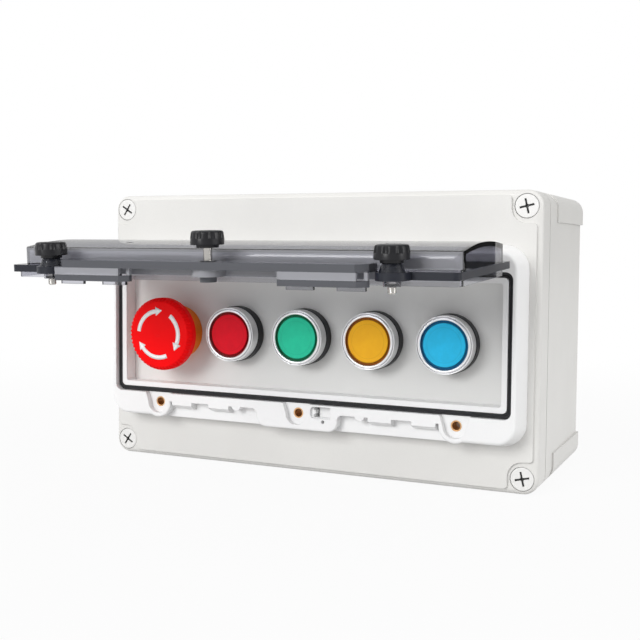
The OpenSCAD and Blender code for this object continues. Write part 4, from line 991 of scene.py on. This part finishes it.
class STOPBOX_OT_springs(Step, bpy.types.Operator):
    """Wind the return springs"""
    bl_idname = "stopbox.springs"
    bl_label = "Make springs"
    group = "stopbox_controls"

    def make(self, look):
        wire = plated_metal("spring_wire", look.wire, 0.25, stretch=(3, 3, 3))
        for buttons, front in ((COLOURS, "_lens"), (("stop",), "_head")):
            size = size_of(buttons[-1] + "_spring")
            springs = copies(coil(size.x / 2, size.y, look),
                             [name + "_coil_spring" for name in buttons])
            for name, spring in zip(buttons, springs):
                low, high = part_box(name + "_spring")
                centre = middle_of(name + front)
                seat = Vector((centre.x, high.y, centre.z))
                settle(spring, stand_on(seat, OUT_OF_WALL), SMOOTH_THREAD)
                dress(spring, wire, "box")
                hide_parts(name + "_spring")
                paint(wire, name + "_spring")
                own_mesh(spring)


class STOPBOX_OT_stage(Step, bpy.types.Operator):
    """Set up the floor, the lamps, the world and the camera"""
    bl_idname = "stopbox.stage"
    bl_label = "Set up studio"
    group = "stopbox_studio"

    def make(self, look):
        scene = bpy.context.scene
        make_floor(look)
        make_world(scene, look)
        lamp("key_lamp", look.key_place, look.key, look.lamp_size)
        lamp("fill_lamp", look.fill_place, look.fill, look.lamp_size)
        make_camera(scene)
        scene.view_settings.view_transform = "Standard"


def seen_directly(finish):
    """1 for camera, glossy and transmission rays."""
    camera, glossy, through = (finish.number("LightPath", output="Is %s Ray" % kind)
                               for kind in ("Camera", "Glossy", "Transmission"))
    return camera.at_least(glossy).at_least(through)


def make_floor(look):
    """A wide floor that takes the shadow and is seen almost white."""
    drop = 0.2 * MM
    floor = start("studio_floor", bpy.ops.mesh.primitive_plane_add, size=6.0)
    edit_all()
    bpy.ops.mesh.subdivide(number_cuts=3)
    switch("OBJECT")
    settle(floor, Matrix.Translation((0, 0, CAD_BOX[0].z - drop)))
    finish = Finish("studio_floor")
    mottle = finish.noise(finish.place(), size=0.4)
    tone = finish.mix(mottle, shade(look.floor, 0.99), shade(look.floor, 1.01))
    matt = finish.node("BsdfDiffuse", {"Color": tone})
    glow = finish.node("Emission", {"Color": WHITE, "Strength": 1.0})
    x, y, _ = finish.parts(finish.place(sum(CAD_BOX, Vector()) / 2))
    far = ((x ** 2 + y ** 2) ** 0.5).ramp(0.2, 0.7)
    share = seen_directly(finish) * (0.93 + far * 0.07)
    finish.end(finish.blend(share, matt.outputs[0], glow.outputs[0]))
    floor.data.materials.append(finish.owner)


def make_world(scene, look):
    """Even light on the surfaces, and a white room that is darker where a reflection sees its
    front, its floor, its right or its back."""
    scene.world = bpy.data.worlds.new("studio")
    finish = Finish("studio", scene.world)
    x, y, z = finish.parts(finish.node("TexCoord").outputs["Generated"])
    front = (y * -1 - abs(z) * 0.5 + abs(x) * 0.1).ramp(-0.2, 0.75)
    below = (z * -1).ramp(0.0, 0.6)
    above = z.ramp(0.0, 0.8)
    behind = y.ramp(0.2, 0.7)
    beside = behind * x.ramp(0.0, 0.25)
    glossy = finish.number("LightPath", output="Is Glossy Ray")
    seen = 1 - glossy * (front * look.front_dark + below * look.below_dark
                         + beside * look.beside_dark + behind * look.behind_dark)
    even = look.ambient * (1 - below * 0.4 + above * 0.15)
    ambient = finish.node("Background", {"Color": WHITE, "Strength": even})
    white = finish.node("Background", {"Color": WHITE, "Strength": seen})
    finish.end(finish.blend(seen_directly(finish), ambient.outputs[0], white.outputs[0]))


def lamp(name, place, power, size):
    """A square lamp that looks at the middle of the box."""
    target = sum(CAD_BOX, Vector()) / 2
    bpy.ops.object.select_all(action="DESELECT")
    bpy.ops.object.light_add(type="AREA", location=place)
    light = bpy.context.object
    light.name = name
    light.data.size = size
    light.data.energy = power
    light.rotation_euler = (target - Vector(place)).to_track_quat("-Z", "Y").to_euler()


def make_camera(scene):
    """The camera that was fitted to the straight edges and circles of the photograph."""
    place = (0.2296, -0.5847, 0.0462)
    yaw, pitch, roll = 0.4246, 0.055, 0.0079
    ahead = Vector((-math.sin(yaw) * math.cos(pitch), math.cos(yaw) * math.cos(pitch),
                    -math.sin(pitch)))
    level = Vector((math.cos(yaw), math.sin(yaw), 0))
    upward = level.cross(ahead)
    right = level * math.cos(roll) + upward * math.sin(roll)
    top = upward * math.cos(roll) - level * math.sin(roll)
    bpy.ops.object.select_all(action="DESELECT")
    bpy.ops.object.camera_add()
    camera = bpy.context.object
    camera.name = "camera"
    camera.matrix_world = Matrix.Translation(place) @ Matrix(
        (right, top, -ahead)).transposed().to_4x4()
    camera.data.sensor_width = 36.0
    camera.data.lens = 55.95
    camera.data.shift_x = -0.01566
    camera.data.shift_y = -0.0281
    camera.data.clip_start = 0.01
    camera.data.clip_end = 20
    scene.camera = camera


# Each group of settings: its name in the scene, its class and the operators that use it
GROUPS = (
    ("stopbox_enclosure", EnclosureLook, (STOPBOX_OT_enclosure,)),
    ("stopbox_cover", CoverLook, (STOPBOX_OT_cover,)),
    ("stopbox_thumbscrews", ThumbscrewLook, (STOPBOX_OT_thumbscrews,)),
    ("stopbox_controls", ControlLook, (STOPBOX_OT_stop_button, STOPBOX_OT_push_buttons,
                                       STOPBOX_OT_bezels, STOPBOX_OT_springs)),
    ("stopbox_studio", StudioLook, (STOPBOX_OT_stage,)),
)


class STOPBOX_PT_panel(bpy.types.Panel):
    """The steps that dress the box, in order"""
    bl_idname = "STOPBOX_PT_panel"
    bl_label = "Stop box"
    bl_space_type = "VIEW_3D"
    bl_region_type = "UI"
    bl_category = "Stop box"

    def draw(self, context):
        for name, look, steps in GROUPS:
            box = self.layout.box()
            for field in look.__annotations__:
                box.prop(getattr(context.scene, name), field)
            for step in steps:
                box.operator(step.bl_idname)


def register():
    for name, look, steps in GROUPS:
        bpy.utils.register_class(look)
        setattr(bpy.types.Scene, name, PointerProperty(type=look))
        for step in steps:
            bpy.utils.register_class(step)
    bpy.utils.register_class(STOPBOX_PT_panel)


def unregister():
    bpy.utils.unregister_class(STOPBOX_PT_panel)
    for name, look, steps in reversed(GROUPS):
        for step in reversed(steps):
            bpy.utils.unregister_class(step)
        delattr(bpy.types.Scene, name)
        bpy.utils.unregister_class(look)


def main():
    register()
    bpy.ops.stopbox.enclosure()
    bpy.ops.stopbox.cover()
    bpy.ops.stopbox.thumbscrews()
    bpy.ops.stopbox.stop_button()
    bpy.ops.stopbox.push_buttons()
    bpy.ops.stopbox.bezels()
    bpy.ops.stopbox.springs()
    bpy.ops.stopbox.stage()


if __name__ == "__main__":
    main()
